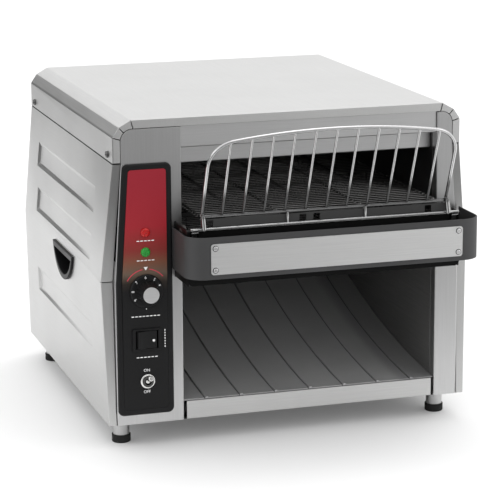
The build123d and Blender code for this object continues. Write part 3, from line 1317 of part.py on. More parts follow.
def speed_control():
    """Rotary speed control behind the panel: a can and its bush."""
    at = (CONTROL_X, DIAL_HEIGHT)
    collar = FRONT + COLLAR_DEPTH
    room = (collar - COLLAR_ROOM, collar + COLLAR_THICK + SPINDLE_TAIL + COLLAR_ROOM)
    can = rod("Y", FRONT + FRAME_SHEET, FRONT + CAN_DEPTH, CAN_RADIUS, at)
    can -= rod("Y", *room, SPINDLE_RADIUS + COLLAR + COLLAR_ROOM, at)
    bush = rod("Y", BEZEL_FACE + OVERLAY_THICK, FRONT + FRAME_SHEET,
               SPINDLE_RADIUS + SPINDLE_BUSH, at)
    return can + bush - rod("Y", BEZEL_FACE - OVER, room[1], SPINDLE_RADIUS + RUNNING_FIT, at)


def rocker_pivot_y():
    """Y of the rocker's pivot, inside its housing."""
    return BEZEL_FACE + ROCKER_PIVOT_DEPTH


def rocker_housing():
    """Snap-in switch housing with a framed window."""
    half = ROCKER_FLANGE_WIDTH / 2
    rise = ROCKER_FLANGE_HEIGHT / 2
    x = (CONTROL_X - half, CONTROL_X + half)
    z = (ROCKER_HEIGHT - rise, ROCKER_HEIGHT + rise)
    shape = from_front(rounded(x, z, ROCKER_FLANGE_EDGE),
                       (BEZEL_FACE - ROCKER_FLANGE_THICK, BEZEL_FACE))
    shape += block((x[0] + ROCKER_FLANGE_EDGE, x[1] - ROCKER_FLANGE_EDGE),
                   (BEZEL_FACE, FRONT + ROCKER_DEPTH),
                   (z[0] + ROCKER_FLANGE_EDGE, z[1] - ROCKER_FLANGE_EDGE))
    open_half = ROCKER_BUTTON_WIDTH / 2 + SEAT
    open_rise = ROCKER_BUTTON_HEIGHT / 2 + SEAT
    window = block((CONTROL_X - open_half, CONTROL_X + open_half),
                   (BEZEL_FACE - ROCKER_FLANGE_THICK - OVER, rocker_pivot_y() + ROCKER_WELL),
                   (ROCKER_HEIGHT - open_rise, ROCKER_HEIGHT + open_rise))
    return shape - window


def rocker_button():
    """Rocker with two faces that meet at a shallow angle, one side pressed in."""
    radius = ROCKER_BUTTON_WIDTH / 2
    middle = (ROCKER_BACK - radius) / 2
    face = Circle(radius) & (Pos(0, middle) * Rectangle(2 * radius, radius + ROCKER_BACK))
    far = 2 * radius
    rise = ROCKER_PROUD + math.tan(math.radians(ROCKER_TILT)) * far
    notch = outline([(0, -ROCKER_PROUD), (far, -rise), (far, -rise - far),
                     (-far, -rise - far), (-far, -rise)])
    button = extrude(face - notch, ROCKER_BUTTON_HEIGHT / 2, both=True)
    return Pos(CONTROL_X, rocker_pivot_y(), ROCKER_HEIGHT) * Rot(0, 0, ROCKER_TILT) * button


def toggle_pivot_y():
    """Y of the toggle lever's ball."""
    return BEZEL_FACE - TOGGLE_BALL_BACK


def toggle_switch():
    """Switch body behind the panel and its threaded bush."""
    at = (CONTROL_X, TOGGLE_HEIGHT)
    half = TOGGLE_CASE_WIDTH / 2
    rise = TOGGLE_CASE_HEIGHT / 2
    body = block((CONTROL_X - half, CONTROL_X + half),
                 (FRONT + FRAME_SHEET, FRONT + TOGGLE_CASE_DEPTH),
                 (TOGGLE_HEIGHT - rise, TOGGLE_HEIGHT + rise))
    body += rod("Y", BEZEL_FACE - TOGGLE_THREAD, FRONT + FRAME_SHEET, TOGGLE_BUSH_RADIUS, at)
    well = TOGGLE_BALL + SEAT
    return body - rod("Y", BEZEL_FACE - TOGGLE_THREAD - OVER, toggle_pivot_y() + well, well, at)


def toggle_nut():
    """Round dress nut of the toggle switch."""
    at = (CONTROL_X, TOGGLE_HEIGHT)
    nut = rod("Y", BEZEL_FACE - TOGGLE_NUT_THICK, BEZEL_FACE, TOGGLE_NUT_RADIUS, at)
    nut = chamfer(nut.edges().group_by(Axis.Y)[0], TOGGLE_NUT_EDGE)
    through = (BEZEL_FACE - TOGGLE_NUT_THICK - OVER, BEZEL_FACE + OVER)
    return nut - rod("Y", *through, TOGGLE_BUSH_RADIUS + SCREW_CLEAR, at)


def toggle_lever():
    """Bat lever with its ball, tipped up."""
    tip = TOGGLE_TIP_RADIUS
    profile = Polyline((0, 0), (TOGGLE_NECK, 0), (TOGGLE_NECK, -TOGGLE_BALL),
                       (tip, TOGGLE_TIP_ROUND - TOGGLE_LEVER),
                       (tip - TOGGLE_TIP_ROUND, -TOGGLE_LEVER), (0, -TOGGLE_LEVER), close=True)
    lever = revolve(make_face(profile), Axis.Y) + Sphere(TOGGLE_BALL)
    return Pos(CONTROL_X, toggle_pivot_y(), TOGGLE_HEIGHT) * Rot(-TOGGLE_TILT, 0, 0) * lever


# ---------------------------------------------------------------- drive and cooling
def motor_bracket():
    """Upright on the casing floor that carries the gearbox."""
    x = (MOTOR_FACE, MOTOR_FACE + FRAME_SHEET)
    half = GEARBOX_WIDTH / 2
    y = (DRIVE_Y - half, DRIVE_Y + half)
    upright = block(x, y, (BASE_TOP, MOTOR_Z + half))
    foot = block((x[0] - BRACKET_FOOT, x[1]), y, (BASE_TOP, BASE_TOP + FRAME_SHEET))
    hole = rod("X", x[0] - OVER, x[1] + OVER, MOTOR_SHAFT_RADIUS + BRACKET_HOLE_CLEAR,
               (DRIVE_Y, MOTOR_Z))
    return upright + foot - hole


def gearmotor():
    """Gearbox on the bracket with its round motor."""
    half = GEARBOX_WIDTH / 2
    inner = MOTOR_FACE - GEARBOX_DEPTH
    box = block((inner, MOTOR_FACE), (DRIVE_Y - half, DRIVE_Y + half),
                (MOTOR_Z - half, MOTOR_Z + half))
    box = fillet(box.edges().filter_by(Axis.X), GEARBOX_CORNER)
    box += rod("X", inner - MOTOR_LENGTH, inner, MOTOR_RADIUS, (DRIVE_Y, MOTOR_Z))
    bore = (MOTOR_FACE - SHAFT_IN_GEARBOX - OVER, MOTOR_FACE + OVER)
    return box - rod("X", *bore, MOTOR_SHAFT_RADIUS + RUNNING_FIT, (DRIVE_Y, MOTOR_Z))


def motor_shaft():
    """Output shaft of the gearbox."""
    return rod("X", MOTOR_FACE - SHAFT_IN_GEARBOX, CHAIN_X + CHAIN_WIDTH / 2,
               MOTOR_SHAFT_RADIUS, (DRIVE_Y, MOTOR_Z))


def fan_housing():
    """Square fan frame inside the back, with the boss that carries the rotor."""
    half = FAN_SIZE / 2
    at = (FAN_X, FAN_HEIGHT)
    frame = from_front(rounded((FAN_X - half, FAN_X + half),
                               (FAN_HEIGHT - half, FAN_HEIGHT + half), FAN_CORNER),
                       (FAN_FRONT, FAN_BACK))
    frame -= rod("Y", FAN_FRONT - OVER, FAN_BACK + OVER, half - FAN_WALL, at)
    for turn in (45, 135):
        arm = Rot(0, turn, 0) * Box(FAN_SIZE - FAN_WALL, FAN_WALL, FAN_ARM_WIDTH)
        frame += Pos(FAN_X, FAN_FRONT + FAN_WALL / 2, FAN_HEIGHT) * arm
    boss = rod("Y", FAN_FRONT, FAN_FRONT + FAN_BOSS_DEPTH, FAN_BOSS, at)
    pin = rod("Y", FAN_FRONT, FAN_BACK - FAN_ROTOR_SHORT / 2, FAN_PIN, at)
    return frame + boss + pin


def fan_rotor():
    """Hub with pitched blades."""
    depth = FAN_DEPTH - FAN_ROTOR_SHORT
    hub = rod("Y", 0, depth, FAN_HUB, (0, 0))
    root = FAN_HUB - FAN_WALL / 2
    reach = FAN_SIZE / 2 - FAN_WALL - FAN_TIP_GAP
    blade = Rot(FAN_BLADE_PITCH, 0, 0) * Box(reach - root, FAN_BLADE_THICK, FAN_BLADE_CHORD)
    blade = Pos((reach + root) / 2, depth / 2, 0) * blade
    for index in range(FAN_BLADES):
        hub += Rot(0, index * 360 / FAN_BLADES, 0) * blade
    hub -= rod("Y", -OVER, depth + OVER, FAN_PIN + RUNNING_FIT, (0, 0))
    return Pos(FAN_X, FAN_FRONT + FAN_BOSS_DEPTH + SEAT, FAN_HEIGHT) * hub


def cord_gland():
    """Gland for the supply cord, through the back panel."""
    at = (GLAND_X, GLAND_HEIGHT)
    inner = BACK - SHEET - GLAND_IN
    body = rod("Y", inner, BACK + GLAND_OUT / 2, GLAND_BORE + GLAND_WALL, at)
    head = rod("Y", BACK, BACK + GLAND_OUT, GLAND_BORE + GLAND_HEAD_WALL, at)
    head = fillet(head.edges().group_by(Axis.Y)[-1], GLAND_HEAD_ROUND)
    nut = Pos(*at) * RegularPolygon(GLAND_BORE + GLAND_NUT_WALL, 6)
    shape = body + head + from_front(nut, (BACK - SHEET - GLAND_NUT_THICK, BACK - SHEET))
    return shape - rod("Y", inner - OVER, BACK + GLAND_OUT + OVER, GLAND_BORE, at)


# ---------------------------------------------------------------- feet and screws
def foot_places():
    """X and Y of the feet."""
    x = RIGHT - FOOT_INSET_X
    return [(-x, FRONT + FOOT_INSET_Y), (x, FRONT + FOOT_INSET_Y),
            (-x, BACK - FOOT_INSET_Y), (x, BACK - FOOT_INSET_Y)]


def foot_sleeves():
    """Steel legs with studs through the casing floor."""
    sleeves = []
    for place in foot_places():
        sleeve = rod("Z", PAD_HEIGHT - PAD_SOCKET, FOOT_HEIGHT, SLEEVE_RADIUS, place)
        sleeves.append(sleeve + rod("Z", FOOT_HEIGHT, BASE_TOP + STUD_RISE, STUD_RADIUS, place))
    return group(sleeves)


def foot_pads():
    """Rubber pads under the legs."""
    pads = []
    for place in foot_places():
        pad = rod("Z", 0, PAD_HEIGHT, PAD_RADIUS, place)
        pad = fillet(pad.edges().group_by(Axis.Z)[0], PAD_ROUND)
        pads.append(pad - rod("Z", PAD_HEIGHT - PAD_SOCKET, PAD_HEIGHT + OVER,
                              SLEEVE_RADIUS + SCREW_CLEAR, place))
    return group(pads)


def cover_screws():
    """Round-headed screws along the cover's lower edge."""
    screws = []
    for side in (-1, 1):
        for y in cover_screw_rows():
            at = (y, cover_screw_height())
            head = rod("X", RIGHT, RIGHT + SCREW_PROUD, SCREW_HEAD, at)
            head = fillet(head.edges().group_by(Axis.X)[-1], SCREW_ROUND)
            screw = head + rod("X", RIGHT - SCREW_GRIP, RIGHT, SCREW_SHANK, at)
            screws.append(screw if side > 0 else mirrored(screw))
    return screws


def back_screws():
    """Round-headed screws of the back panel."""
    screws = []
    for place in back_screw_places():
        head = rod("Y", BACK, BACK + SCREW_PROUD, SCREW_HEAD, place)
        head = fillet(head.edges().group_by(Axis.Y)[-1], SCREW_ROUND)
        screws.append(head + rod("Y", BACK - SCREW_GRIP, BACK, SCREW_SHANK, place))
    return screws


# ---------------------------------------------------------------- the whole toaster
def main():
    """Build and write every node."""
    right_panel = right_side_panel()
    grip = right_grip()
    save(top_cover(), "top_cover")
    save(right_panel, "right_side_panel")
    save(mirrored(right_panel), "left_side_panel")
    save(grip, "right_grip")
    save(mirrored(grip), "left_grip")
    save(base_pan(), "base_pan")
    save(back_panel(), "back_panel")
    save(control_pillar(), "control_pillar")
    save(plain_pillar(), "plain_pillar")
    save(header_plate(), "header_plate")
    save(feed_baffle(), "feed_baffle")
    save(conveyor_plate(PLATE_LEFT - FRAME_SHEET, -1), "left_conveyor_plate")
    save(conveyor_plate(PLATE_RIGHT, 1), "right_conveyor_plate")
    save(nose_plate(), "nose_plate")
    save(conveyor_belt(), "conveyor_belt")
    save(belt_support(), "belt_support")
    save(shaft_bushes(), "shaft_bushes")
    save(drive_shaft(), "drive_shaft")
    save(belt_sprockets(DRIVE_Y, SPROCKET_TEETH), "drive_sprockets")
    save(idler_shaft(), "idler_shaft")
    save(belt_sprockets(IDLER_Y, 0), "idler_rollers")
    save(chain_sprocket(SHAFT_Z, SHAFT_RADIUS), "driven_sprocket")
    save(chain_sprocket(MOTOR_Z, MOTOR_SHAFT_RADIUS), "motor_sprocket")
    save(motor_shaft(), "motor_shaft")
    save(drive_chain(), "drive_chain")
    save(gearmotor(), "gearmotor")
    save(motor_bracket(), "motor_bracket")
    save(cavity_wall(OPEN_LEFT - FRAME_SHEET), "left_cavity_wall")
    save(cavity_wall(OPEN_RIGHT), "right_cavity_wall")
    save(group([*upper_tubes(), *lower_tubes()]), "heating_tubes")
    save(tube_caps(), "tube_caps")
    save(heat_hood(), "heat_hood")
    save(discharge_chute(), "discharge_chute")
    save(crumb_tray(), "crumb_tray")
    save(tray_runners(), "tray_runners")
    save(bumper(), "bumper")
    save(bumper_plate(), "bumper_plate")
    save(bumper_plate_screws(), "bumper_plate_screws")
    save(bumper_brackets(), "bumper_brackets")
    save(feed_rack(), "feed_rack")
    save(rack_clips(), "rack_clips")
    save(control_bezel(), "control_bezel")
    save(control_overlay(), "control_overlay")
    save(lamp(RED_LAMP_HEIGHT), "power_lamp")
    save(lamp(GREEN_LAMP_HEIGHT), "ready_lamp")
    save(speed_dial(), "speed_dial")
    save(dial_cap(), "dial_cap")
    save(dial_spindle(), "dial_spindle")
    save(speed_control(), "speed_control")
    save(rocker_housing(), "rocker_housing")
    save(rocker_button(), "rocker_button")
    save(toggle_switch(), "toggle_switch")
    save(toggle_nut(), "toggle_nut")
    save(toggle_lever(), "toggle_lever")
    save(fan_housing(), "fan_housing")
    save(fan_rotor(), "fan_rotor")
    save(cord_gland(), "cord_gland")
    save(group([*cover_screws(), *back_screws()]), "casing_screws")
    save(foot_sleeves(), "foot_sleeves")
    save(foot_pads(), "foot_pads")


main()
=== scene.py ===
"""Conveyor toaster: looks, small parts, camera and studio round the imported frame.

Metres, in the frame of the solids: +X to the right, +Y to the back, +Z up, floor at zero.
"""

import json
import logging
import math
from dataclasses import dataclass, replace
from enum import Enum
from typing import Callable, Sequence

import bmesh
import bpy
from mathutils import Matrix, Vector

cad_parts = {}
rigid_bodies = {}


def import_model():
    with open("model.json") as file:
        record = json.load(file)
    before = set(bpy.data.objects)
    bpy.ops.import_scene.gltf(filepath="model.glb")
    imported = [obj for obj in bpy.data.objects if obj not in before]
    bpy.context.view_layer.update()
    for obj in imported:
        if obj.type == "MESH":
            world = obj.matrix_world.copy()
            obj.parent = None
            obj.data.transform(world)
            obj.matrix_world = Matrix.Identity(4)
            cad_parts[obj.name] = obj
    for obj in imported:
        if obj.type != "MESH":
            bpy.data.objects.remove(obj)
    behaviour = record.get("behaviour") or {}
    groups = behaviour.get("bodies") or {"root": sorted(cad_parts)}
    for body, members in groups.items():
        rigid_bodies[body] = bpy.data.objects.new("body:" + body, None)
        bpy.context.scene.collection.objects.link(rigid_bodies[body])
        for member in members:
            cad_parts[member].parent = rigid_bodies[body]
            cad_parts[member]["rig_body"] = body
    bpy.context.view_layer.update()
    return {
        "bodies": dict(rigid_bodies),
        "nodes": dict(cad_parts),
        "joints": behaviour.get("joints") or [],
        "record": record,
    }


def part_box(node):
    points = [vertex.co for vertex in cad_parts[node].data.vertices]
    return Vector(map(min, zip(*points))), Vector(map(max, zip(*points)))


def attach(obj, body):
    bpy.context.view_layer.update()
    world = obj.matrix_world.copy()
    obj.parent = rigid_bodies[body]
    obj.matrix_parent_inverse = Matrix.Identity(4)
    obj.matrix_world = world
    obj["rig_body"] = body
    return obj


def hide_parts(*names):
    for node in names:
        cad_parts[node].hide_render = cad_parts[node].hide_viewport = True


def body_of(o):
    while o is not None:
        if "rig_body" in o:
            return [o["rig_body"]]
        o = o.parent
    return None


log = logging.getLogger("toaster")

Piece = bpy.types.Object
Colour = tuple[float, float, float]
Band = tuple[str, float, float]

PRINT_HALF = 0.00004
BLACKEST = (0.0, 0.0, 0.0)
WHITEST = (1.0, 1.0, 1.0)


class Grain(Enum):
    """Direction in which a sheet was brushed, as the stretch of its noise."""

    ALONG_X = (1.0, 90.0, 90.0)
    ALONG_Y = (90.0, 1.0, 90.0)
    ALONG_Z = (90.0, 90.0, 1.0)


class Way(Enum):
    """Axis that a round piece stands along, as the turn of an upright one."""

    X = (0.0, math.pi / 2, 0.0)
    Y = (math.pi / 2, 0.0, 0.0)


# ------------------------------------------------ shader graph
class Signal:
    """A number in a node tree; each operator on it adds its Math node."""

    def __init__(self, graph: "NodeTree", socket: bpy.types.NodeSocket) -> None:
        """Wrap a socket of a tree."""
        self.graph = graph
        self.socket = socket

    def _math(self, operation: str, first: object, second: object = 0.0) -> "Signal":
        """Add one Math node and wrap its result."""
        return self.graph.add("ShaderNodeMath", {"operation": operation}, {0: first, 1: second})

    def __add__(self, other: object) -> "Signal":
        """Sum."""
        return self._math("ADD", self, other)

    __radd__ = __add__

    def __sub__(self, other: object) -> "Signal":
        """Difference."""
        return self._math("SUBTRACT", self, other)

    def __rsub__(self, other: object) -> "Signal":
        """Difference, the other way round."""
        return self._math("SUBTRACT", other, self)

    def __mul__(self, other: object) -> "Signal":
        """Product."""
        return self._math("MULTIPLY", self, other)

    def fraction(self) -> "Signal":
        """Part after the decimal point."""
        return self._math("FRACT", self)

    def larger(self, other: object) -> "Signal":
        """The larger of two."""
        return self._math("MAXIMUM", self, other)

    def between(self, low: float, high: float) -> "Signal":
        """Map a stretch of values smoothly onto 0 to 1.

        Args:
            low: Value that becomes 0.
            high: Value that becomes 1.

        Returns:
            The mapped signal.
        """
        settings = {"interpolation_type": "SMOOTHSTEP"}
        return self.graph.add("ShaderNodeMapRange", settings, {0: self, 1: low, 2: high})


class NodeTree:
    """Nodes of a material or of the world."""

    def __init__(self, owner: bpy.types.ID) -> None:
        """Take the owner's nodes and empty them.

        Args:
            owner: The material or world.
        """
        owner.use_nodes = True
        self.nodes = owner.node_tree.nodes
        self.links = owner.node_tree.links
        self.nodes.clear()

    def add(self, kind: str, settings: dict[str, object], sockets: dict[object, object],
            result: object = 0) -> Signal:
        """Add a node.

        Args:
            kind: Blender's name of the node's type.
            settings: Properties of the node, set first; "stops" holds a ramp's stops.
            sockets: Value or signal for each input, by name or number.
            result: Name or number of the output that is wanted.

        Returns:
            The wanted output.
        """
        node = self.nodes.new(kind)
        for key, value in settings.items():
            if key == "stops":
                self._fill_ramp(node.color_ramp, value)
            else:
                setattr(node, key, value)
        for key, value in sockets.items():
            self.feed(node.inputs[key], value)
        return Signal(self, node.outputs[result])

    @staticmethod
    def _fill_ramp(ramp: bpy.types.ColorRamp, stops: Sequence[tuple[float, Colour]]) -> None:
        """Write the stops of a colour ramp.

        Args:
            ramp: The ramp.
            stops: Place and colour of each stop.
        """
        while len(ramp.elements) < len(stops):
            ramp.elements.new(1.0)
        for element, (place, colour) in zip(ramp.elements, stops):
            element.position = place
            element.color = (*colour, 1.0)

    def feed(self, socket: bpy.types.NodeSocket, value: object) -> None:
        """Link a signal to a socket, or set its value.

        Args:
            socket: The input.
            value: Signal, number or colour.
        """
        if isinstance(value, Signal):
            self.links.new(value.socket, socket)
        elif isinstance(value, tuple) and len(value) == 3 and socket.type == "RGBA":
            socket.default_value = (*value, 1.0)
        else:
            socket.default_value = value


class Graph(NodeTree):
    """Node tree of one material, round its shader."""

    def __init__(self, name: str) -> None:
        """Start a material with only an output and a shader.

        Args:
            name: Name of the material.
        """
        self.material = bpy.data.materials.new(name)
        super().__init__(self.material)
        self.shader = self.nodes.new("ShaderNodeBsdfPrincipled")
        self.output = self.nodes.new("ShaderNodeOutputMaterial")
        self.links.new(self.shader.outputs[0], self.output.inputs["Surface"])

    def set(self, **values: object) -> None:
        """Feed sockets of the shader; an underscore stands for a space."""
        for key, value in values.items():
            self.feed(self.shader.inputs[key.replace("_", " ")], value)

    def place(self, stretch: Sequence[float] = (1.0, 1.0, 1.0)) -> Signal:
        """Object coordinates, stretched along the axes."""
        here = self.add("ShaderNodeTexCoord", {}, {}, "Object")
        return self.add("ShaderNodeMapping", {}, {"Vector": here, "Scale": tuple(stretch)})

    def noise(self, scale: float, detail: float = 3.0,
              stretch: Sequence[float] = (1.0, 1.0, 1.0)) -> Signal:
        """Noise between 0 and 1, stretched along the axes."""
        return self.add("ShaderNodeTexNoise", {}, {"Vector": self.place(stretch), "Scale": scale,
                                                   "Detail": detail, "Roughness": 0.6})

    def blend(self, share: object, first: object, second: object) -> Signal:
        """Mix two colours."""
        sockets = {0: share, 6: first, 7: second}
        return self.add("ShaderNodeMix", {"data_type": "RGBA"}, sockets, 2)

    def bump(self, height: Signal, strength: float, depth: float) -> Signal:
        """Turn a height into a normal; depth is in metres."""
        return self.add("ShaderNodeBump", {}, {"Height": height, "Strength": strength,
                                               "Distance": depth})

    def axis(self, name: str) -> Signal:
        """One object coordinate, X, Y or Z."""
        here = self.add("ShaderNodeTexCoord", {}, {}, "Object")
        return self.add("ShaderNodeSeparateXYZ", {}, {0: here}, name)


# ------------------------------------------------ finishes
def scaled(colour: Colour, factor: float) -> Colour:
    """A colour made lighter or darker."""
    return tuple(min(1.0, part * factor) for part in colour)


def band(axis: str, base: float, ends: Sequence[float]) -> Band:
    """A stretch along an axis, its start and full end counted from a base."""
    return axis, base + ends[0], base + ends[1]


@dataclass(frozen=True)
class Fade:
    """A stretch in which a surface is duller, where all its bands meet; most fades in this script
    are painted shade.

    Each band names an axis, the place where it starts and the place where it is full.
    """

    tone: float
    bands: tuple[Band, ...]

    def on(self, graph: Graph) -> Signal:
        """Factor for the colour at each place.

        Args:
            graph: Graph of the material.

        Returns:
            1 outside the stretch, and the tone in it.
        """
        share = 1.0
        for axis, start, full in self.bands:
            share = graph.axis(axis).between(start, full) * share
        return 1.0 - share * (1.0 - self.tone)


def faded(graph: Graph, colour: object, fades: Sequence[Fade]) -> object:
    """Put all the fades of a finish on a colour.

    Args:
        graph: Graph of the material.
        colour: Colour or signal to start from.
        fades: The fades.

    Returns:
        The duller colour.
    """
    for fade in fades:
        colour = graph.blend(fade.on(graph), BLACKEST, colour)
    return colour


class Finish:
    """What a surface is made of; each kind fills its own graph."""

    def material(self, name: str) -> bpy.types.Material:
        """Make the material.

        Args:
            name: Its name.

        Returns:
            The material.
        """
        graph = Graph(name)
        self.lay(graph)
        return graph.material

    def lay(self, graph: Graph) -> None:
        """Feed the shader of a graph."""
        raise NotImplementedError


@dataclass(frozen=True)
class BrushedSteel(Finish):
    """Satin stainless sheet with a fine grain and faint handling marks."""

    colour: Colour
    grain: Grain
    roughness: float = 0.34
    spread: float = 0.05
    relief: float = 0.12
    fades: tuple[Fade, ...] = ()
    fine_scale: float = 14.0
    fine_share: float = 0.6
    hair_scale: float = 44.0
    hair_depth: float = 0.00006
    mark_scale: float = 7.0
    mark_share: float = 0.25
    mark_tone: float = 0.9

    def lay(self, graph: Graph) -> None:
        """Feed the shader.

        Args:
            graph: Graph of the material.
        """
        fine = graph.noise(self.fine_scale, 4.0, self.grain.value)
        hair = graph.noise(self.hair_scale, 2.0, self.grain.value)
        mark = graph.noise(self.mark_scale).between(0.35, 0.75)
        tone = fine * self.fine_share + hair * (1 - self.fine_share)
        colour = graph.blend(tone.between(0.3, 0.7), scaled(self.colour, 1 - self.spread),
                             scaled(self.colour, 1 + self.spread))
        colour = graph.blend(mark * self.mark_share, colour, scaled(self.colour, self.mark_tone))
        graph.set(Base_Color=faded(graph, colour, self.fades),
                  Metallic=1.0,
                  Roughness=self.roughness + (tone - 0.5) * 0.12 + mark * 0.05,
                  Normal=graph.bump(hair, self.relief, self.hair_depth))


@dataclass(frozen=True)
class CoatedSheet(Finish):
    """Sheet with a smooth dark coat, slightly uneven and rubbed."""

    colour: Colour
    roughness: float
    coat: float = 0.0
    shine: float = 0.5
    fades: tuple[Fade, ...] = ()
    coat_roughness: float = 0.18
    peel_scale: float = 900.0
    peel_depth: float = 0.0001
    rub_scale: float = 9.0
    rub_tone: float = 1.35

    def lay(self, graph: Graph) -> None:
        """Feed the shader.

        Args:
            graph: Graph of the material.
        """
        peel = graph.noise(self.peel_scale, 2.0)
        rubbed = graph.noise(self.rub_scale, 4.0).between(0.45, 0.8)
        colour = graph.blend(rubbed, self.colour, scaled(self.colour, self.rub_tone))
        graph.set(Base_Color=faded(graph, colour, self.fades),
                  Specular_IOR_Level=self.shine,
                  Roughness=self.roughness + rubbed * 0.1 + (peel - 0.5) * 0.05,
                  Normal=graph.bump(peel, 0.08, self.peel_depth),
                  Coat_Weight=self.coat,
                  Coat_Roughness=self.coat_roughness)


@dataclass(frozen=True)
class RibbedSheet(Finish):
    """Painted sheet with a dark line of painted shade along the left foot of each rib."""

    colour: Colour
    start: float
    fades: tuple[Fade, ...]
    pitch: float = 0.0373
    line: float = 0.0016
    painted_rib_shade: Colour = (0.004, 0.004, 0.004)
    painted_rib_shade_share: float = 0.85
    metallic: float = 0.35
    roughness: float = 0.5
    shine: float = 0.3
    peel_scale: float = 900.0
    peel_depth: float = 0.0001
    cloud_scale: float = 9.0
    cloud_tone: float = 1.15

    def lay(self, graph: Graph) -> None:
        """Feed the shader.

        Args:
            graph: Graph of the material.
        """
        peel = graph.noise(self.peel_scale, 2.0)
        cloud = graph.noise(self.cloud_scale, 4.0).between(0.35, 0.8)
        phase = ((graph.axis("X") - self.start) * (1.0 / self.pitch)).fraction()
        end = self.line / self.pitch
        full = end * 0.3
        # Painted shade: a dark line at the left foot of each rib, where its side wall lies in
        # shade.
        painted_rib_shade = phase.between(end, full) * phase.between(0.0, full)
        colour = graph.blend(cloud, self.colour, scaled(self.colour, self.cloud_tone))
        colour = graph.blend(painted_rib_shade * self.painted_rib_shade_share, colour, self.painted_rib_shade)
        graph.set(Base_Color=faded(graph, colour, self.fades),
                  Metallic=self.metallic,
                  Roughness=self.roughness + cloud * 0.08 + (peel - 0.5) * 0.05,
                  Specular_IOR_Level=self.shine,
                  Normal=graph.bump(peel, 0.08, self.peel_depth))


@dataclass(frozen=True)
class Moulding(Finish):
    """Moulded plastic or rubber with a spark-eroded grain."""

    colour: Colour
    roughness: float = 0.42
    grain: float = 0.15
    grain_scale: float = 1600.0
    grain_depth: float = 0.00008
    wear_scale: float = 22.0
    wear_tone: float = 1.5
    wear_share: float = 0.5
    shine: float = 0.24

    def lay(self, graph: Graph) -> None:
        """Feed the shader.

        Args:
            graph: Graph of the material.
        """
        pits = graph.noise(self.grain_scale, 2.0)
        worn = graph.noise(self.wear_scale).between(0.4, 0.75)
        paler = scaled(self.colour, self.wear_tone)
        graph.set(Base_Color=graph.blend(worn * self.wear_share, self.colour, paler),
                  Roughness=self.roughness + (pits - 0.5) * 0.12 - worn * 0.05,
                  Specular_IOR_Level=self.shine,
                  Normal=graph.bump(pits, self.grain, self.grain_depth))


@dataclass(frozen=True)
class PlatedMetal(Finish):
    """Bright plating or polished wire, with a little waviness."""

    colour: Colour
    roughness: float
    tint: Colour
    fades: tuple[Fade, ...] = ()
    wave_scale: float = 120.0
    wave_depth: float = 0.0001
    film_scale: float = 30.0
    film_share: float = 0.5

    def lay(self, graph: Graph) -> None:
        """Feed the shader.

        Args:
            graph: Graph of the material.
        """
        wave = graph.noise(self.wave_scale)
        film = graph.noise(self.film_scale, 4.0).between(0.5, 0.8)
        colour = graph.blend(film * self.film_share, self.colour, self.tint)
        graph.set(Base_Color=faded(graph, colour, self.fades),
                  Metallic=1.0,
                  Roughness=self.roughness + film * 0.1 + wave * 0.04,
                  Normal=graph.bump(wave, 0.02, self.wave_depth))


@dataclass(frozen=True)
class CastMetal(Finish):
    """Matt casting or sintered metal with pores."""

    colour: Colour
    metallic: float = 0.8
    roughness: float = 0.5
    pore_scale: float = 700.0
    pore_depth: float = 0.0002
    stain_scale: float = 35.0
    stain_tone: float = 0.75

    def lay(self, graph: Graph) -> None:
        """Feed the shader.

        Args:
            graph: Graph of the material.
        """
        pores = graph.noise(self.pore_scale, 4.0)
        stain = graph.noise(self.stain_scale).between(0.4, 0.7)
        darker = scaled(self.colour, self.stain_tone)
        graph.set(Base_Color=graph.blend(stain, self.colour, darker),
                  Metallic=self.metallic,
                  Roughness=self.roughness + (pores - 0.5) * 0.2,
                  Normal=graph.bump(pores, 0.3, self.pore_depth))


@dataclass(frozen=True)
class LampLens(Finish):
    """Tinted lens with a faint glow and moulded facets."""

    colour: Colour
    glow: float = 0.10
    roughness: float = 0.12
    facet_scale: float = 900.0
    facet_depth: float = 0.0003
    facet_tone: float = 0.45

    def lay(self, graph: Graph) -> None:
        """Feed the shader.

        Args:
            graph: Graph of the material.
        """
        sockets = {"Vector": graph.place(), "Scale": self.facet_scale}
        facets = graph.add("ShaderNodeTexVoronoi", {}, sockets, "Distance")
        darker = scaled(self.colour, self.facet_tone)
        colour = graph.blend(facets.between(0.2, 0.9), self.colour, darker)
        graph.set(Base_Color=colour, Roughness=self.roughness + facets * 0.05,
                  Normal=graph.bump(facets, 0.3, self.facet_depth),
                  Emission_Color=colour, Emission_Strength=self.glow)


@dataclass(frozen=True)
class PrintedFilm(Finish):
    """Printed film that fades from red at the top to black, with an olive band low down that is a
    painted warm reflection.
    """

    low: float = 0.165
    high: float = 0.275
    # The red to black fade is print; the brown and olive stops low down paint a warm reflection.
    stops: tuple[tuple[float, Colour], ...] = (
        (0.0, (0.007, 0.007, 0.0075)), (0.08, (0.022, 0.016, 0.012)), (0.17, (0.120, 0.082, 0.058)),
        (0.27, (0.165, 0.060, 0.034)), (0.38, (0.20, 0.022, 0.018)), (0.60, (0.29, 0.011, 0.019)),
        (1.0, (0.26, 0.009, 0.020)))
    roughness: float = 0.38
    shine: float = 0.16
    speck: Colour = (0.2, 0.2, 0.2)
    speck_scale: float = 1400.0
    speck_share: float = 0.04
    speck_depth: float = 0.00005

    def lay(self, graph: Graph) -> None:
        """Feed the shader.

        Args:
            graph: Graph of the material.
        """
        speck = graph.noise(self.speck_scale, 2.0)
        height = (graph.axis("Z") - self.low) * (1.0 / (self.high - self.low))
        colour = graph.add("ShaderNodeValToRGB", {"stops": self.stops}, {0: height})
        graph.set(Base_Color=graph.blend(speck * self.speck_share, colour, self.speck),
                  Roughness=self.roughness + speck * 0.08,
                  Specular_IOR_Level=self.shine,
                  Normal=graph.bump(speck, 0.06, self.speck_depth))


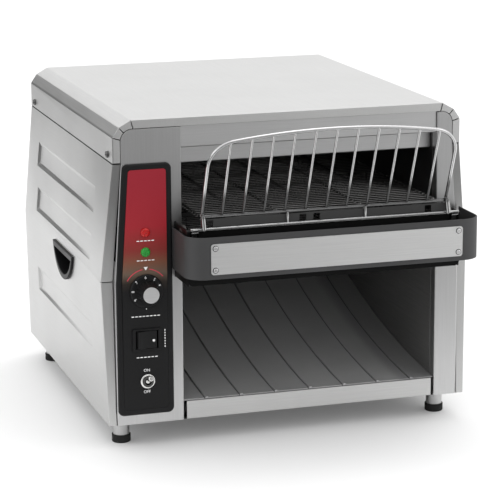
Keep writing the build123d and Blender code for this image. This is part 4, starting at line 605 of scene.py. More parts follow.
@dataclass(frozen=True)
class FrostedTube(Finish):
    """Frosted quartz tube, cloudy and dark."""

    colour: Colour = (0.014, 0.013, 0.012)
    roughness: float = 0.45
    shine: float = 0.15
    opacity: float = 0.75
    frost_scale: float = 500.0
    frost_depth: float = 0.0001
    cloud_scale: float = 40.0
    cloud_tone: float = 0.7

    def lay(self, graph: Graph) -> None:
        """Feed the shader.

        Args:
            graph: Graph of the material.
        """
        frost = graph.noise(self.frost_scale)
        cloud = graph.noise(self.cloud_scale)
        darker = scaled(self.colour, self.cloud_tone)
        graph.set(Base_Color=graph.blend(cloud, self.colour, darker),
                  Roughness=self.roughness + frost * 0.1,
                  Alpha=self.opacity + cloud * 0.15,
                  Specular_IOR_Level=self.shine,
                  Normal=graph.bump(frost, 0.1, self.frost_depth))


@dataclass(frozen=True)
class PrintInk(Finish):
    """Printed or pad-printed marks."""

    colour: Colour
    roughness: float = 0.45
    speck_scale: float = 2500.0
    speck_tone: float = 0.8

    def lay(self, graph: Graph) -> None:
        """Feed the shader.

        Args:
            graph: Graph of the material.
        """
        speck = graph.noise(self.speck_scale, 2.0)
        faint = scaled(self.colour, self.speck_tone)
        graph.set(Base_Color=graph.blend(speck.between(0.55, 0.9), self.colour, faint),
                  Roughness=self.roughness + speck * 0.1)


# ------------------------------------------------ modelling
def activate(piece: Piece, *others: Piece) -> None:
    """Select only these pieces.

    Args:
        piece: The one that becomes active.
        others: The others.
    """
    bpy.ops.object.select_all(action="DESELECT")
    for each in (piece, *others):
        each.select_set(True)
    bpy.context.view_layer.objects.active = piece


def added(name: str, data: bpy.types.ID) -> Piece:
    """Put new data into the scene.

    Args:
        name: Name of the object.
        data: Its mesh, curve, camera or light.

    Returns:
        The object.
    """
    piece = bpy.data.objects.new(name, data)
    bpy.context.scene.collection.objects.link(piece)
    return piece


def applied(piece: Piece, kind: str, **settings: object) -> Piece:
    """Add a modifier to a piece and apply it.

    Args:
        piece: The piece.
        kind: Type of the modifier.
        settings: Its settings.

    Returns:
        The same piece.
    """
    modifier = piece.modifiers.new(kind.lower(), kind)
    for key, value in settings.items():
        setattr(modifier, key, value)
    activate(piece)
    bpy.ops.object.modifier_apply(modifier=modifier.name)
    return piece


def steady(piece: Piece) -> Piece:
    """Write a piece's place, turn and size into its mesh.

    Args:
        piece: The piece.

    Returns:
        The same piece.
    """
    activate(piece)
    bpy.ops.object.transform_apply(location=True, rotation=True, scale=True)
    return piece


def twin(piece: Piece, name: str) -> Piece:
    """Copy a piece and its mesh."""
    return added(name, piece.data.copy())


def joined(pieces: Sequence[Piece], name: str) -> Piece:
    """Make one piece of several.

    Args:
        pieces: The pieces.
        name: Name of the whole.

    Returns:
        The whole.
    """
    activate(*pieces)
    if len(pieces) > 1:
        bpy.ops.object.join()
    pieces[0].name = name
    return pieces[0]


def moved(piece: Piece, matrix: Matrix) -> Piece:
    """Move the mesh of a piece.

    Args:
        piece: The piece.
        matrix: How it moves.

    Returns:
        The same piece.
    """
    piece.data.transform(matrix)
    piece.data.update()
    return piece


def drum(way: Way, radius: float, length: float, at: Sequence[float], sides: int) -> Piece:
    """Add a cylinder.

    Args:
        way: Axis that it stands along.
        radius: Its radius.
        length: Its length.
        at: Its middle.
        sides: Faces round it.

    Returns:
        The new piece.
    """
    bpy.ops.mesh.primitive_cylinder_add(vertices=sides, radius=radius, depth=length,
                                        location=at, rotation=way.value)
    return steady(bpy.context.active_object)


def slab(size: Sequence[float], at: Sequence[float]) -> Piece:
    """Add a box of a size at a place."""
    bpy.ops.mesh.primitive_cube_add(size=1.0, location=at, scale=size)
    return steady(bpy.context.active_object)


def lettering(text: str, size: float, at: Sequence[float], turn: float = 0.0) -> Piece:
    """Add upright characters that face the front.

    Args:
        text: What they say.
        size: Height of the font.
        at: Middle of the text.
        turn: Turn to the left, in radians, seen from the front.

    Returns:
        The characters as a mesh.
    """
    bpy.ops.object.text_add(location=at, rotation=(math.pi / 2, -turn, 0.0))
    piece = bpy.context.active_object
    piece.data.body = text
    piece.data.size = size
    piece.data.align_x = piece.data.align_y = "CENTER"
    piece.data.extrude = PRINT_HALF
    piece.data.resolution_u = 3
    activate(piece)
    bpy.ops.object.convert(target="MESH")
    return steady(bpy.context.active_object)


class Editing:
    """Edit mode on one piece, left again at the end of the block."""

    def __init__(self, piece: Piece, mode: str = "EDGE", everything: bool = False) -> None:
        """Remember what is edited.

        Args:
            piece: The piece.
            mode: Kind of element that is picked.
            everything: Whether all of it starts selected.
        """
        self.piece = piece
        self.mode = mode
        self.start = "SELECT" if everything else "DESELECT"

    def __enter__(self) -> "Editing":
        """Go into edit mode.

        Returns:
            Itself.
        """
        activate(self.piece)
        bpy.ops.object.mode_set(mode="EDIT")
        bpy.ops.mesh.select_mode(type=self.mode)
        bpy.ops.mesh.select_all(action=self.start)
        return self

    def __exit__(self, *problem: object) -> None:
        """Go back to object mode."""
        bpy.ops.object.mode_set(mode="OBJECT")

    def pick(self, test: Callable[[object], bool]) -> bool:
        """Select the edges that pass a test.

        Args:
            test: Takes a bmesh edge and says whether it is wanted.

        Returns:
            Whether any was picked.
        """
        mesh = bmesh.from_edit_mesh(self.piece.data)
        wanted = [edge for edge in mesh.edges if test(edge)]
        for edge in wanted:
            edge.select_set(True)
        bmesh.update_edit_mesh(self.piece.data)
        return bool(wanted)

    def face_outwards(self) -> None:
        """Turn all normals outwards."""
        bpy.ops.mesh.select_all(action="SELECT")
        bpy.ops.mesh.normals_make_consistent(inside=False)


@dataclass(frozen=True)
class Edges:
    """How the edges of a copied solid are broken.

    The bend is the width of the round on a fold, and the edge that on other sharp edges.
    A fold bends by an angle from gentlest to steepest, between faces wider than broad. A
    sharp edge bends by more than sharp, and is longer than shortest.
    """

    bend: float = 0.0
    edge: float = 0.00025
    steepest: float = math.radians(100)
    gentlest: float = math.radians(12)
    bend_steps: int = 3
    edge_steps: int = 2
    sharp: float = math.radians(28)
    shortest: float = 0.0006
    broad: float = 0.0024

    def is_bend(self, edge: object) -> bool:
        """Find the outside of a fold between two broad faces.

        Args:
            edge: A bmesh edge.

        Returns:
            Whether it is one.
        """
        if len(edge.link_faces) != 2 or not edge.is_convex:
            return False
        if not self.gentlest < edge.calc_face_angle(0.0) < self.steepest:
            return False
        length = max(edge.calc_length(), 1e-6)
        breadth = min(face.calc_area() for face in edge.link_faces) / length
        return breadth > self.broad and length > self.broad

    def is_sharp(self, edge: object) -> bool:
        """Tell whether an edge is sharp, and long enough to be broken."""
        return (len(edge.link_faces) == 2 and edge.calc_face_angle(0.0) > self.sharp
                and edge.calc_length() > self.shortest)

    def break_on(self, piece: Piece) -> None:
        """Bevel first the folds, then the other sharp edges.

        Args:
            piece: The copied solid.
        """
        for width, steps, test in ((self.bend, self.bend_steps, self.is_bend),
                                   (self.edge, self.edge_steps, self.is_sharp)):
            if width == 0.0:
                continue
            with Editing(piece) as editing:
                if editing.pick(test):
                    bpy.ops.mesh.bevel(offset=width, segments=steps, affect="EDGES",
                                       clamp_overlap=False)


class Workshop:
    """Takes solids out of the frame and finishes pieces for it.

    Points nearer than weld become one, and faces within the level angle become one.
    """

    weld: float = 0.000002
    level: float = math.radians(0.4)

    def __init__(self, frame: dict) -> None:
        """Read the nodes and the slot of each.
        """
        self.nodes = frame["nodes"]
        self.slots = {part["node"]: part["material_slot"] for part in frame["record"]["subparts"]}
        self.materials: dict[str, bpy.types.Material] = {}

    def finish(self, piece: Piece, name: str, node: str, finish: Finish, paint: str = "",
               angle: float = 32.0, stands_for: bool = True) -> Piece:
        """Name, smooth and paint a piece and let it ride with a node.

        Args:
            piece: The finished mesh, in place.
            name: Its name.
            node: Node whose body and slot it takes.
            finish: Its finish.
            paint: Name of the material, made once, else the node's slot.
            angle: Edges flatter than this, in degrees, look smooth.
            stands_for: Whether the node itself is hidden.

        Returns:
            The piece.
        """
        piece.name = piece.data.name = name
        paint = paint or self.slots[node]
        if paint not in self.materials:
            self.materials[paint] = finish.material(paint)
        piece.data.materials.clear()
        piece.data.materials.append(self.materials[paint])
        activate(piece)
        bpy.ops.object.shade_smooth_by_angle(angle=math.radians(angle))
        applied(piece, "WEIGHTED_NORMAL", keep_sharp=True, weight=100)
        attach(piece, body_of(self.nodes[node])[0])
        if stands_for:
            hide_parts(node)
        return piece

    def merged(self, node: str, name: str) -> Piece:
        """Copy a node with its triangles joined up into whole faces.

        Args:
            node: The node.
            name: Name of the copy.

        Returns:
            The copy.
        """
        piece = twin(self.nodes[node], name)
        with Editing(piece, "FACE", everything=True) as editing:
            bpy.ops.mesh.remove_doubles(threshold=self.weld)
            bpy.ops.mesh.dissolve_limited(angle_limit=self.level)
            editing.face_outwards()
        return piece

    def dress(self, node: str, finish: Finish, edges: Edges = Edges(), paint: str = "") -> Piece:
        """Put a copy of a node in its place.

        Args:
            node: The node.
            finish: Its finish.
            edges: How its edges are broken.
            paint: Name of the material, else the node's slot.

        Returns:
            The copy.
        """
        piece = self.merged(node, node + "_made")
        edges.break_on(piece)
        return self.finish(piece, piece.name, node, finish, paint)

    def dress_all(self, *rows: tuple) -> list[Piece]:
        """Dress several nodes, each row being what dress takes."""
        return [self.dress(*row) for row in rows]

    def smooth(self, node: str, finish: Finish, angle: float, paint: str = "") -> Piece:
        """Put an unbroken copy of a node in its place.

        Args:
            node: The node.
            finish: Its finish.
            angle: Edges flatter than this, in degrees, look smooth.
            paint: Name of the material, else the node's slot.

        Returns:
            The copy.
        """
        piece = self.merged(node, node + "_made")
        return self.finish(piece, piece.name, node, finish, paint, angle)

    def extra(self, pieces: Sequence[Piece], name: str, node: str, finish: Finish,
              paint: str) -> Piece:
        """Join small pieces into one that rides with a node but doesn't stand for it."""
        piece = joined(pieces, name)
        return self.finish(piece, name, node, finish, paint, stands_for=False)

    def islands(self, node: str) -> list[tuple[Vector, Vector]]:
        """Measure each separate solid of a node.

        Args:
            node: The node.

        Returns:
            Their lowest and highest corners.
        """
        with Editing(self.merged(node, "loose"), everything=True):
            bpy.ops.mesh.separate(type="LOOSE")
        boxes = []
        for part in list(bpy.context.selected_objects):
            places = [vertex.co for vertex in part.data.vertices]
            boxes.append(tuple(Vector([pick(place[axis] for place in places) for axis in range(3)])
                               for pick in (min, max)))
            bpy.data.objects.remove(part)
        return sorted(boxes, key=lambda box: tuple(round(part, 4) for part in box[0]))


# ------------------------------------------------ colours
SATIN = BrushedSteel((0.635, 0.635, 0.63), Grain.ALONG_Y)
# FACE is darkened towards the top of the pillars as painted shade.
FACE = BrushedSteel((0.645, 0.645, 0.645), Grain.ALONG_Z, fades=(Fade(0.8, (("Z", 0.10, 0.27),)),))
CROSS = BrushedSteel((0.62, 0.62, 0.62), Grain.ALONG_X)
# INNER is the tunnel's steel made near black as painted shade.
INNER = BrushedSteel((0.035, 0.034, 0.033), Grain.ALONG_Y, roughness=0.5, spread=0.2)
PLAIN = BrushedSteel((0.42, 0.42, 0.42), Grain.ALONG_X, roughness=0.42)
SCORCHED = BrushedSteel((0.055, 0.052, 0.05), Grain.ALONG_X, roughness=0.5)
TRAY = replace(CROSS, colour=(0.63, 0.63, 0.625))
CAP = BrushedSteel((0.80, 0.80, 0.80), Grain.ALONG_X, roughness=0.4)
PLATE = BrushedSteel((0.86, 0.86, 0.855), Grain.ALONG_X, roughness=0.36)
SLEEVE = BrushedSteel((0.54, 0.54, 0.54), Grain.ALONG_Z, roughness=0.3)
# DEEP_WALL is darkened above its lower part as painted shade inside the tunnel.
DEEP_WALL = BrushedSteel((0.44, 0.436, 0.43), Grain.ALONG_Y, roughness=0.5, spread=0.15,
                         fades=(Fade(0.2, (("Z", 0.19, 0.21),)),))
# WIRE darkens the belt's lower run, under the top run, as painted shade.
WIRE = PlatedMetal((0.23, 0.227, 0.223), roughness=0.18, tint=(0.17, 0.17, 0.17),
                   fades=(Fade(0.1, (("Z", 0.232, 0.222),)),))
# RACK_WIRE darkens the bars' lower halves as painted reflection of the dark belt, and the rods and
# hooks below as painted shade.
RACK_WIRE = PlatedMetal((0.70, 0.70, 0.70), roughness=0.12, tint=(0.6, 0.6, 0.6),
                        fades=(Fade(0.22, (("Z", 0.278, 0.264), ("Z", 0.2425, 0.2475))),
                               Fade(0.6, (("Z", 0.2475, 0.2425),))))
WINDING = PlatedMetal((0.30, 0.26, 0.22), roughness=0.35, tint=(0.40, 0.39, 0.38))
NICKEL = PlatedMetal((0.86, 0.855, 0.84), roughness=0.05, tint=(0.55, 0.55, 0.54))
SOCKET = PlatedMetal((0.10, 0.10, 0.098), roughness=0.25, tint=(0.06, 0.06, 0.06))
# SCREW is plating made dark as a painted reflection of the dark surroundings the casing screws
# mirror.
SCREW = PlatedMetal((0.16, 0.16, 0.16), roughness=0.22, tint=(0.10, 0.10, 0.10))
PLATE_SCREW = PlatedMetal((0.80, 0.80, 0.80), roughness=0.2, tint=(0.6, 0.6, 0.6))
BLACK = CoatedSheet((0.037, 0.037, 0.038), roughness=0.5, coat=0.02, shine=0.42)
# NOSE is darkened below the lower rod as painted shade.
NOSE = CoatedSheet((0.038, 0.038, 0.038), roughness=0.55, shine=0.15,
                   fades=(Fade(0.06, (("Z", 0.2335, 0.2315),)),))
# Near-black coat of the base pan and belt support; on the rings under the plate's screws it is
# painted shadow.
DARK_COAT_AND_SHADOW = CoatedSheet((0.010, 0.010, 0.010), roughness=0.7, shine=0.2)
PLASTIC = Moulding((0.0065, 0.0065, 0.007))
BUTTON = Moulding((0.016, 0.016, 0.017), roughness=0.3, grain=0.08)
RUBBER = Moulding((0.014, 0.014, 0.014), roughness=0.75, grain=0.25, grain_scale=900.0)
CERAMIC = Moulding((0.62, 0.60, 0.55), roughness=0.6)
WHITE_INK = PrintInk((0.80, 0.80, 0.80))
RED_INK = PrintInk((0.55, 0.03, 0.06))
FOLD = Edges(bend=0.0011)
COVER_FOLD = Edges(bend=0.0015, edge=0.0003, steepest=math.radians(75))
USUAL = Edges()
UNBROKEN = Edges(edge=0.0)
FILM_EDGE = Edges(edge=0.0001)
FINE = Edges(edge=0.0002)
SMALL = Edges(edge=0.0003)
MOULDED = Edges(edge=0.0004)
BLUNT = Edges(edge=0.0005)


# ------------------------------------------------ casing
@dataclass
class Casing:
    """Folded cover, side panels with their grips, floor, back and screws.

    Each pair is where a fade of painted shade starts and where it is full, from an edge of the
    sheet. The dome is a share of a screw head's height, and cross_reach a share of its radius.
    """

    shop: Workshop
    head_radius: float = 0.0034
    head_height: float = 0.0024
    head_dome: float = 0.7
    dome_steps: int = 4
    head_sides: int = 24
    cross: float = 0.0007
    cross_reach: float = 1.1
    screw_turn: float = 37.0
    side_reach: float = 0.012
    cover_colour: Colour = (0.68, 0.68, 0.675)
    # Painted shade: the cover's left skirt and the seam between cover and side panels are darkened.
    skirt: tuple[float, float] = (0.0016, 0.0004)
    skirt_shade_tone: float = 0.59
    cover_seam: tuple[float, float] = (0.0009, 0.0004)
    panel_seam: tuple[float, float] = (-0.0012, -0.0007)
    seam_shade_tone: float = 0.03
    # Painted shade: the side panels are darkened to the front and to the top.
    front_start: float = 0.06
    front_height: tuple[float, float] = (-0.11, -0.02)
    front_shade_tone: float = 0.60
    upper: tuple[float, float] = (-0.13, -0.06)
    upper_shade_tone: float = 0.88
    # Painted shade: the back's inner side is darkened.
    back_inside: tuple[float, float] = (-0.004, -0.008)
    back_shade_tone: float = 0.2

    def build(self) -> list[Piece]:
        """Build the casing.

        Returns:
            Its pieces.
        """
        panel = self._panel()
        made = self.shop.dress_all(
            ("top_cover", self._cover(), COVER_FOLD, "cover_steel"),
            ("right_side_panel", panel, FOLD),
            ("left_side_panel", panel, FOLD),
            ("right_grip", PLASTIC, SMALL),
            ("left_grip", PLASTIC, SMALL),
            ("base_pan", DARK_COAT_AND_SHADOW, FOLD, "pan_steel"),
            ("back_panel", self._back(), FOLD, "back_steel"))
        return [*made, self._screws()]

    def _cover(self) -> BrushedSteel:
        """Steel of the cover, with painted shade down its left skirt and in the seam under it.

        Returns:
            The finish.
        """
        low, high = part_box("top_cover")
        return replace(SATIN, colour=self.cover_colour, fades=(
            Fade(self.skirt_shade_tone, (band("X", -high.x, self.skirt),)),
            Fade(self.seam_shade_tone, (band("Z", low.z, self.cover_seam),))))

    def _panel(self) -> BrushedSteel:
        """Steel of the side panels, with painted shade to the front, to the top and in the seam.

        Returns:
            The finish.
        """
        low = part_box("top_cover")[0]
        front = ("Y", self.front_start, low.y)
        return replace(SATIN, fades=(
            Fade(self.front_shade_tone, (front, band("Z", low.z, self.front_height))),
            Fade(self.upper_shade_tone, (band("Z", low.z, self.upper),)),
            Fade(self.seam_shade_tone, (band("Z", low.z, self.panel_seam),))))

    def _back(self) -> BrushedSteel:
        """Steel of the back, with painted shade on its inner side."""
        inside = band("Y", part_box("back_panel")[1].y, self.back_inside)
        return replace(CROSS, fades=(Fade(self.back_shade_tone, (inside,)),))

    def _head(self) -> Piece:
        """A round screw head on the X axis, base at zero, with a cross recess.

        Returns:
            The head.
        """
        height, reach = self.head_height, self.head_radius * self.cross_reach
        head = drum(Way.X, self.head_radius, height, (height / 2, 0, 0), self.head_sides)
        with Editing(head) as editing:
            editing.pick(lambda edge: all(end.co.x > height / 2 for end in edge.verts))
            bpy.ops.mesh.bevel(offset=height * self.head_dome, segments=self.dome_steps,
                               affect="EDGES")
        for size in ((height, self.cross, reach), (height, reach, self.cross)):
            cutter = slab(size, (height, 0, 0))
            applied(head, "BOOLEAN", operation="DIFFERENCE", object=cutter)
            bpy.data.objects.remove(cutter)
        return head

    def _screws(self) -> Piece:
        """Screw heads where the frame has screws, turned outwards.

        Returns:
            All the heads as one piece.
        """
        pattern = self._head()
        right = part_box("top_cover")[1].x
        heads = []
        for index, (low, high) in enumerate(self.shop.islands("casing_screws")):
            middle, half = (low + high) / 2, (high - low) / 2
            out = Vector((0.0, 1.0, 0.0))
            if abs(middle.x) > right - self.side_reach:
                out = Vector((math.copysign(1.0, middle.x), 0.0, 0.0))
            base = middle + out * (abs(half.dot(out)) - self.head_height)
            turn = Matrix.Rotation(math.atan2(out.y, out.x), 4, "Z")
            spin = Matrix.Rotation(math.radians(self.screw_turn * index), 4, "X")
            heads.append(moved(twin(pattern, "head"), Matrix.Translation(base) @ turn @ spin))
        bpy.data.objects.remove(pattern)
        piece = joined(heads, "casing_screw_heads")
        return self.shop.finish(piece, piece.name, "casing_screws", SCREW, angle=50.0)


@dataclass
class FrontFace:
    """Pillars, header and the plates round the feed opening."""

    shop: Workshop

    def build(self) -> list[Piece]:
        """Build the face.

        Returns:
            Its pieces.
        """
        return self.shop.dress_all(
            ("control_pillar", FACE, FOLD),
            ("plain_pillar", FACE, FOLD),
            ("header_plate", CROSS, FOLD, "header_steel"),
            ("feed_baffle", CROSS, FOLD, "baffle_steel"),
            ("nose_plate", NOSE, FOLD, "nose_coat"),
            ("left_conveyor_plate", INNER, FOLD),
            ("right_conveyor_plate", INNER, FOLD),
            ("left_cavity_wall", INNER),
            ("right_cavity_wall", DEEP_WALL, USUAL, "wall_steel"),
            ("heat_hood", INNER, FOLD))


# ------------------------------------------------ controls
@dataclass(frozen=True)
class Mark:
    """Place of a printed mark, counted from a node.

    The side is where in the node's box to start, from -1 to 1 across and up. The shift is
    the distance from there, to the right and up.
    """

    node: str
    side: tuple[float, float]
    shift: tuple[float, float]

    def at(self, y: float) -> Vector:
        """Find the place.

        Args:
            y: Its Y in the frame.

        Returns:
            The place in the frame.
        """
        low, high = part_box(self.node)
        middle, half = (low + high) / 2, (high - low) / 2
        return Vector((middle.x + half.x * self.side[0] + self.shift[0], y,
                       middle.z + half.z * self.side[1] + self.shift[1]))


@dataclass(frozen=True)
class Dashes:
    """Plain dashes in a row, in the place of a printed word."""

    count: int
    middle: Mark
    size: tuple[float, float, float] = (0.0027, 0.00006, 0.0009)
    step: tuple[float, float, float] = (0.0038, 0.0, 0.0)

    def build(self, y: float) -> list[Piece]:
        """Build the dashes.

        Args:
            y: Their Y in the frame.

        Returns:
            The dashes.
        """
        middle, step = self.middle.at(y), Vector(self.step)
        first = (self.count - 1) / 2
        return [slab(self.size, middle + step * (index - first)) for index in range(self.count)]


@dataclass
class ControlPanel:
    """Black panel with its printed film, lamps, dial, rocker and toggle."""

    shop: Workshop
    print_gap: float = 0.00006
    digits: Sequence[tuple[str, float]] = (("4", -67.0), ("5", -34.0), ("6", 5.0), ("7", 47.0),
                                           ("8", 88.0), ("9", 124.0))
    digit_size: float = 0.0042
    digit_ring: float = 0.0142
    skirt_depth: float = 0.003
    arcs: Sequence[tuple[float, float]] = ((-52.0, -9.0), (9.0, 60.0))
    arc_radius: float = 0.0222
    arc_width: float = 0.0009
    arc_steps: int = 14
    dial: Mark = Mark("speed_dial", (0, 0), (0.0, 0.0))
    triangle: Mark = Mark("speed_dial", (0, 0), (0.0, 0.0232))
    triangle_radius: float = 0.0024
    triangle_thick: float = 0.00008
    tick: Mark = Mark("speed_dial", (0, 0), (0.0, -0.0188))
    tick_size: tuple[float, float, float] = (0.0005, 0.00006, 0.0014)
    words: Sequence[tuple[str, Mark]] = (("ON", Mark("toggle_nut", (0, 0), (-0.0005, 0.0112))),
                                         ("OFF", Mark("toggle_nut", (0, 0), (-0.0005, -0.0112))))
    word_size: float = 0.0042
    rows: Sequence[Dashes] = (
        Dashes(5, Mark("power_lamp", (0, -1), (0.0, -0.0035))),
        Dashes(5, Mark("ready_lamp", (0, -1), (0.0, -0.0035))),
        Dashes(8, Mark("speed_dial", (0, 0), (-0.0008, -0.0262))),
        Dashes(6, Mark("rocker_housing", (0, -1), (0.0, -0.0068))),
        Dashes(7, Mark("rocker_housing", (1, 0), (0.0036, 0.0)), (0.0009, 0.00006, 0.00162),
               (0.0, 0.0, 0.002812)))
    dot: Mark = Mark("rocker_button", (0.6, 0), (0.0, -0.001))
    dot_radius: float = 0.0013
    dot_thick: float = 0.0006
    dot_sides: int = 20

    def build(self) -> list[Piece]:
        """Build the control panel.

        Returns:
            Its pieces.
        """
        shop = self.shop
        made = shop.dress_all(
            ("control_bezel", PLASTIC, BLUNT),
            ("control_overlay", PrintedFilm(), FILM_EDGE),
            ("speed_dial", PLASTIC, SMALL),
            ("dial_cap", CAP, FINE),
            ("dial_spindle", PLAIN),
            ("speed_control", PLASTIC),
            ("rocker_housing", PLASTIC, MOULDED),
            ("rocker_button", BUTTON, MOULDED),
            ("toggle_switch", SOCKET, USUAL, "socket_steel"),
            ("toggle_nut", NICKEL, MOULDED, "nickel"))
        return [*made,
                shop.smooth("toggle_lever", NICKEL, 50.0, "nickel"),
                shop.smooth("power_lamp", LampLens((0.46, 0.008, 0.008)), 60.0),
                shop.smooth("ready_lamp", LampLens((0.02, 0.28, 0.035)), 60.0),
                self._dial_numbers(), self._film_marks(), self._film_arc(), self._rocker_dot()]

    def _film(self) -> float:
        """Y of the print on the film."""
        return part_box("control_overlay")[0].y - self.print_gap

    def _dial_numbers(self) -> Piece:
        """Numbers round the dial's skirt.

        Returns:
            The numbers as one piece.
        """
        dial = self.dial.at(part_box("speed_dial")[1].y - self.skirt_depth - self.print_gap)
        made = []
        for text, angle in self.digits:
            turn = math.radians(angle)
            out = Vector((-math.sin(turn), 0.0, math.cos(turn)))
            made.append(lettering(text, self.digit_size, dial + out * self.digit_ring, turn))
        return self.shop.extra(made, "dial_numbers", "speed_dial", WHITE_INK, "white_ink")

    def _film_marks(self) -> Piece:
        """Triangle, words at the toggle, tick and dashes.

        Returns:
            The white print as one piece.
        """
        film = self._film()
        made = [self._triangle()]
        made += [lettering(text, self.word_size, mark.at(film)) for text, mark in self.words]
        made.append(slab(self.tick_size, self.tick.at(film)))
        for row in self.rows:
            made += row.build(film)
        return self.shop.extra(made, "film_marks", "control_overlay", WHITE_INK, "white_ink")

    def _film_arc(self) -> Piece:
        """The red arc over the dial, in two parts."""
        made = [self._sweep(start, end) for start, end in self.arcs]
        return self.shop.extra(made, "film_arc", "control_overlay", RED_INK, "red_ink")

    def _sweep(self, start: float, end: float) -> Piece:
        """Sweep a flat arc round the dial.

        Args:
            start: Angle of its start, in degrees to the left of straight up.
            end: Angle of its end.

        Returns:
            The arc.
        """
        dial, begin = self.dial.at(self._film()), math.radians(start)
        out = Vector((-math.sin(begin), 0.0, math.cos(begin)))
        bpy.ops.mesh.primitive_plane_add(size=1.0, location=dial + out * self.arc_radius,
                                         rotation=(0.0, math.pi / 2 - begin, 0.0))
        piece = bpy.context.active_object
        piece.scale = (self.arc_width, self.print_gap, 1.0)
        steady(piece)
        with Editing(piece, "FACE", everything=True) as editing:
            bpy.ops.mesh.spin(steps=self.arc_steps, angle=math.radians(end - start),
                              center=dial, axis=(0.0, 1.0, 0.0))
            editing.face_outwards()
        return piece

    def _triangle(self) -> Piece:
        """A small solid triangle that points down at the dial.

        Returns:
            The triangle.
        """
        bpy.ops.mesh.primitive_cylinder_add(
            vertices=3, radius=self.triangle_radius, depth=self.triangle_thick,
            location=self.triangle.at(self._film()), rotation=(-math.pi / 2, 0.0, 0.0))
        return steady(bpy.context.active_object)

    def _rocker_dot(self) -> Piece:
        """White dot moulded into the right of the rocker, where a ray from ahead meets it.

        Returns:
            The dot.
        """
        button = bpy.data.objects["rocker_button_made"]
        face = button.ray_cast(self.dot.at(-1.0), Vector((0.0, 1.0, 0.0)))[1]
        dot = drum(Way.Y, self.dot_radius, self.dot_thick, face, self.dot_sides)
        return self.shop.extra([dot], "rocker_dot", "rocker_button", WHITE_INK, "white_ink")


# ------------------------------------------------ conveyor
@dataclass
class WireBelt:
    """Belt of bent wires, each hooked round the next one.

    The shoulder and the top of a hook are shares of its half width, of the pitch and of
    its rise. The bend is the radius of the loop's ends, and the inset is what the hooks
    stand out past it.
    """

    shop: Workshop
    wire: float = 0.00042
    hook_rise: float = 0.0017
    hook_half: float = 0.0012
    hook_shoulder: tuple[float, float, float] = (0.55, 0.75, 0.6)
    hook_top: float = 0.3
    slant: float = 0.0011
    joints: Sequence[float] = (-0.124, -0.0445, 0.0445, 0.124)
    bend: float = 0.019
    inset: float = 0.001
    strands: int = 93

    def __post_init__(self) -> None:
        """Measure the loop in the frame."""
        low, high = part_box("conveyor_belt")
        self.middle = (low + high) / 2
        self.half = (high.x - low.x) / 2 - self.wire
        self.run = high.y - low.y - 2 * (self.inset + self.bend)
        self.lap = self.run + math.pi * self.bend
        self.pitch = 2 * self.lap / self.strands

    def build(self) -> list[Piece]:
        """Build the belt.

        Returns:
            Its single piece.
        """
        pattern = self._strand()
        copies = [moved(twin(pattern, "strand"), self._place(index * self.pitch))
                  for index in range(self.strands)]
        bpy.data.objects.remove(pattern)
        piece = joined(copies, "belt_wires")
        return [self.shop.finish(piece, piece.name, "conveyor_belt", WIRE, angle=60.0)]

    def _hook(self, joint: float) -> list[tuple[float, float, float]]:
        """Bend one hook round the next wire.

        Args:
            joint: X of its middle.

        Returns:
            The points that it follows, from left to right.
        """
        half, pitch, rise = self.hook_half, self.pitch, self.hook_rise
        across, along, up = (part * whole for part, whole
                             in zip(self.hook_shoulder, (half, pitch, rise)))
        top = half * self.hook_top
        return [(joint - half, self.slant, 0.0),
                (joint - across, along, up),
                (joint - top, pitch, rise),
                (joint, pitch + rise, 0.0),
                (joint + top, pitch, -rise),
                (joint + across, along, -up),
                (joint + half, 0.0, 0.0)]

    def _strand(self) -> Piece:
        """One wire along X with its hooks towards +Y.

        Returns:
            The wire as a mesh.
        """
        points = [(-self.half, 0.0, 0.0)]
        for joint in self.joints:
            points += self._hook(joint)
        points.append((self.half, 0.0, 0.0))
        curve = bpy.data.curves.new("strand", "CURVE")
        curve.dimensions = "3D"
        line = curve.splines.new("POLY")
        line.points.add(len(points) - 1)
        for point, place in zip(line.points, points):
            point.co = (*place, 1.0)
        curve.bevel_depth = self.wire
        curve.bevel_resolution = 1
        curve.use_fill_caps = True
        activate(added("strand", curve))
        bpy.ops.object.convert(target="MESH")
        return bpy.context.active_object

    def _place(self, travel: float) -> Matrix:
        """Find where a strand stands; the lower half of the loop is the upper one turned over.

        Args:
            travel: Distance along the loop, from the front end of its top.

        Returns:
            The matrix that puts a strand there.
        """
        half, travel = divmod(travel, self.lap)
        angle = max(0.0, travel - self.run) / self.bend
        y = min(travel, self.run) - self.run / 2 + self.bend * math.sin(angle)
        return (Matrix.Translation(self.middle) @ Matrix.Rotation(math.pi * half, 4, "X")
                @ Matrix.Translation((0.0, y, self.bend * math.cos(angle)))
                @ Matrix.Rotation(-angle, 4, "X"))


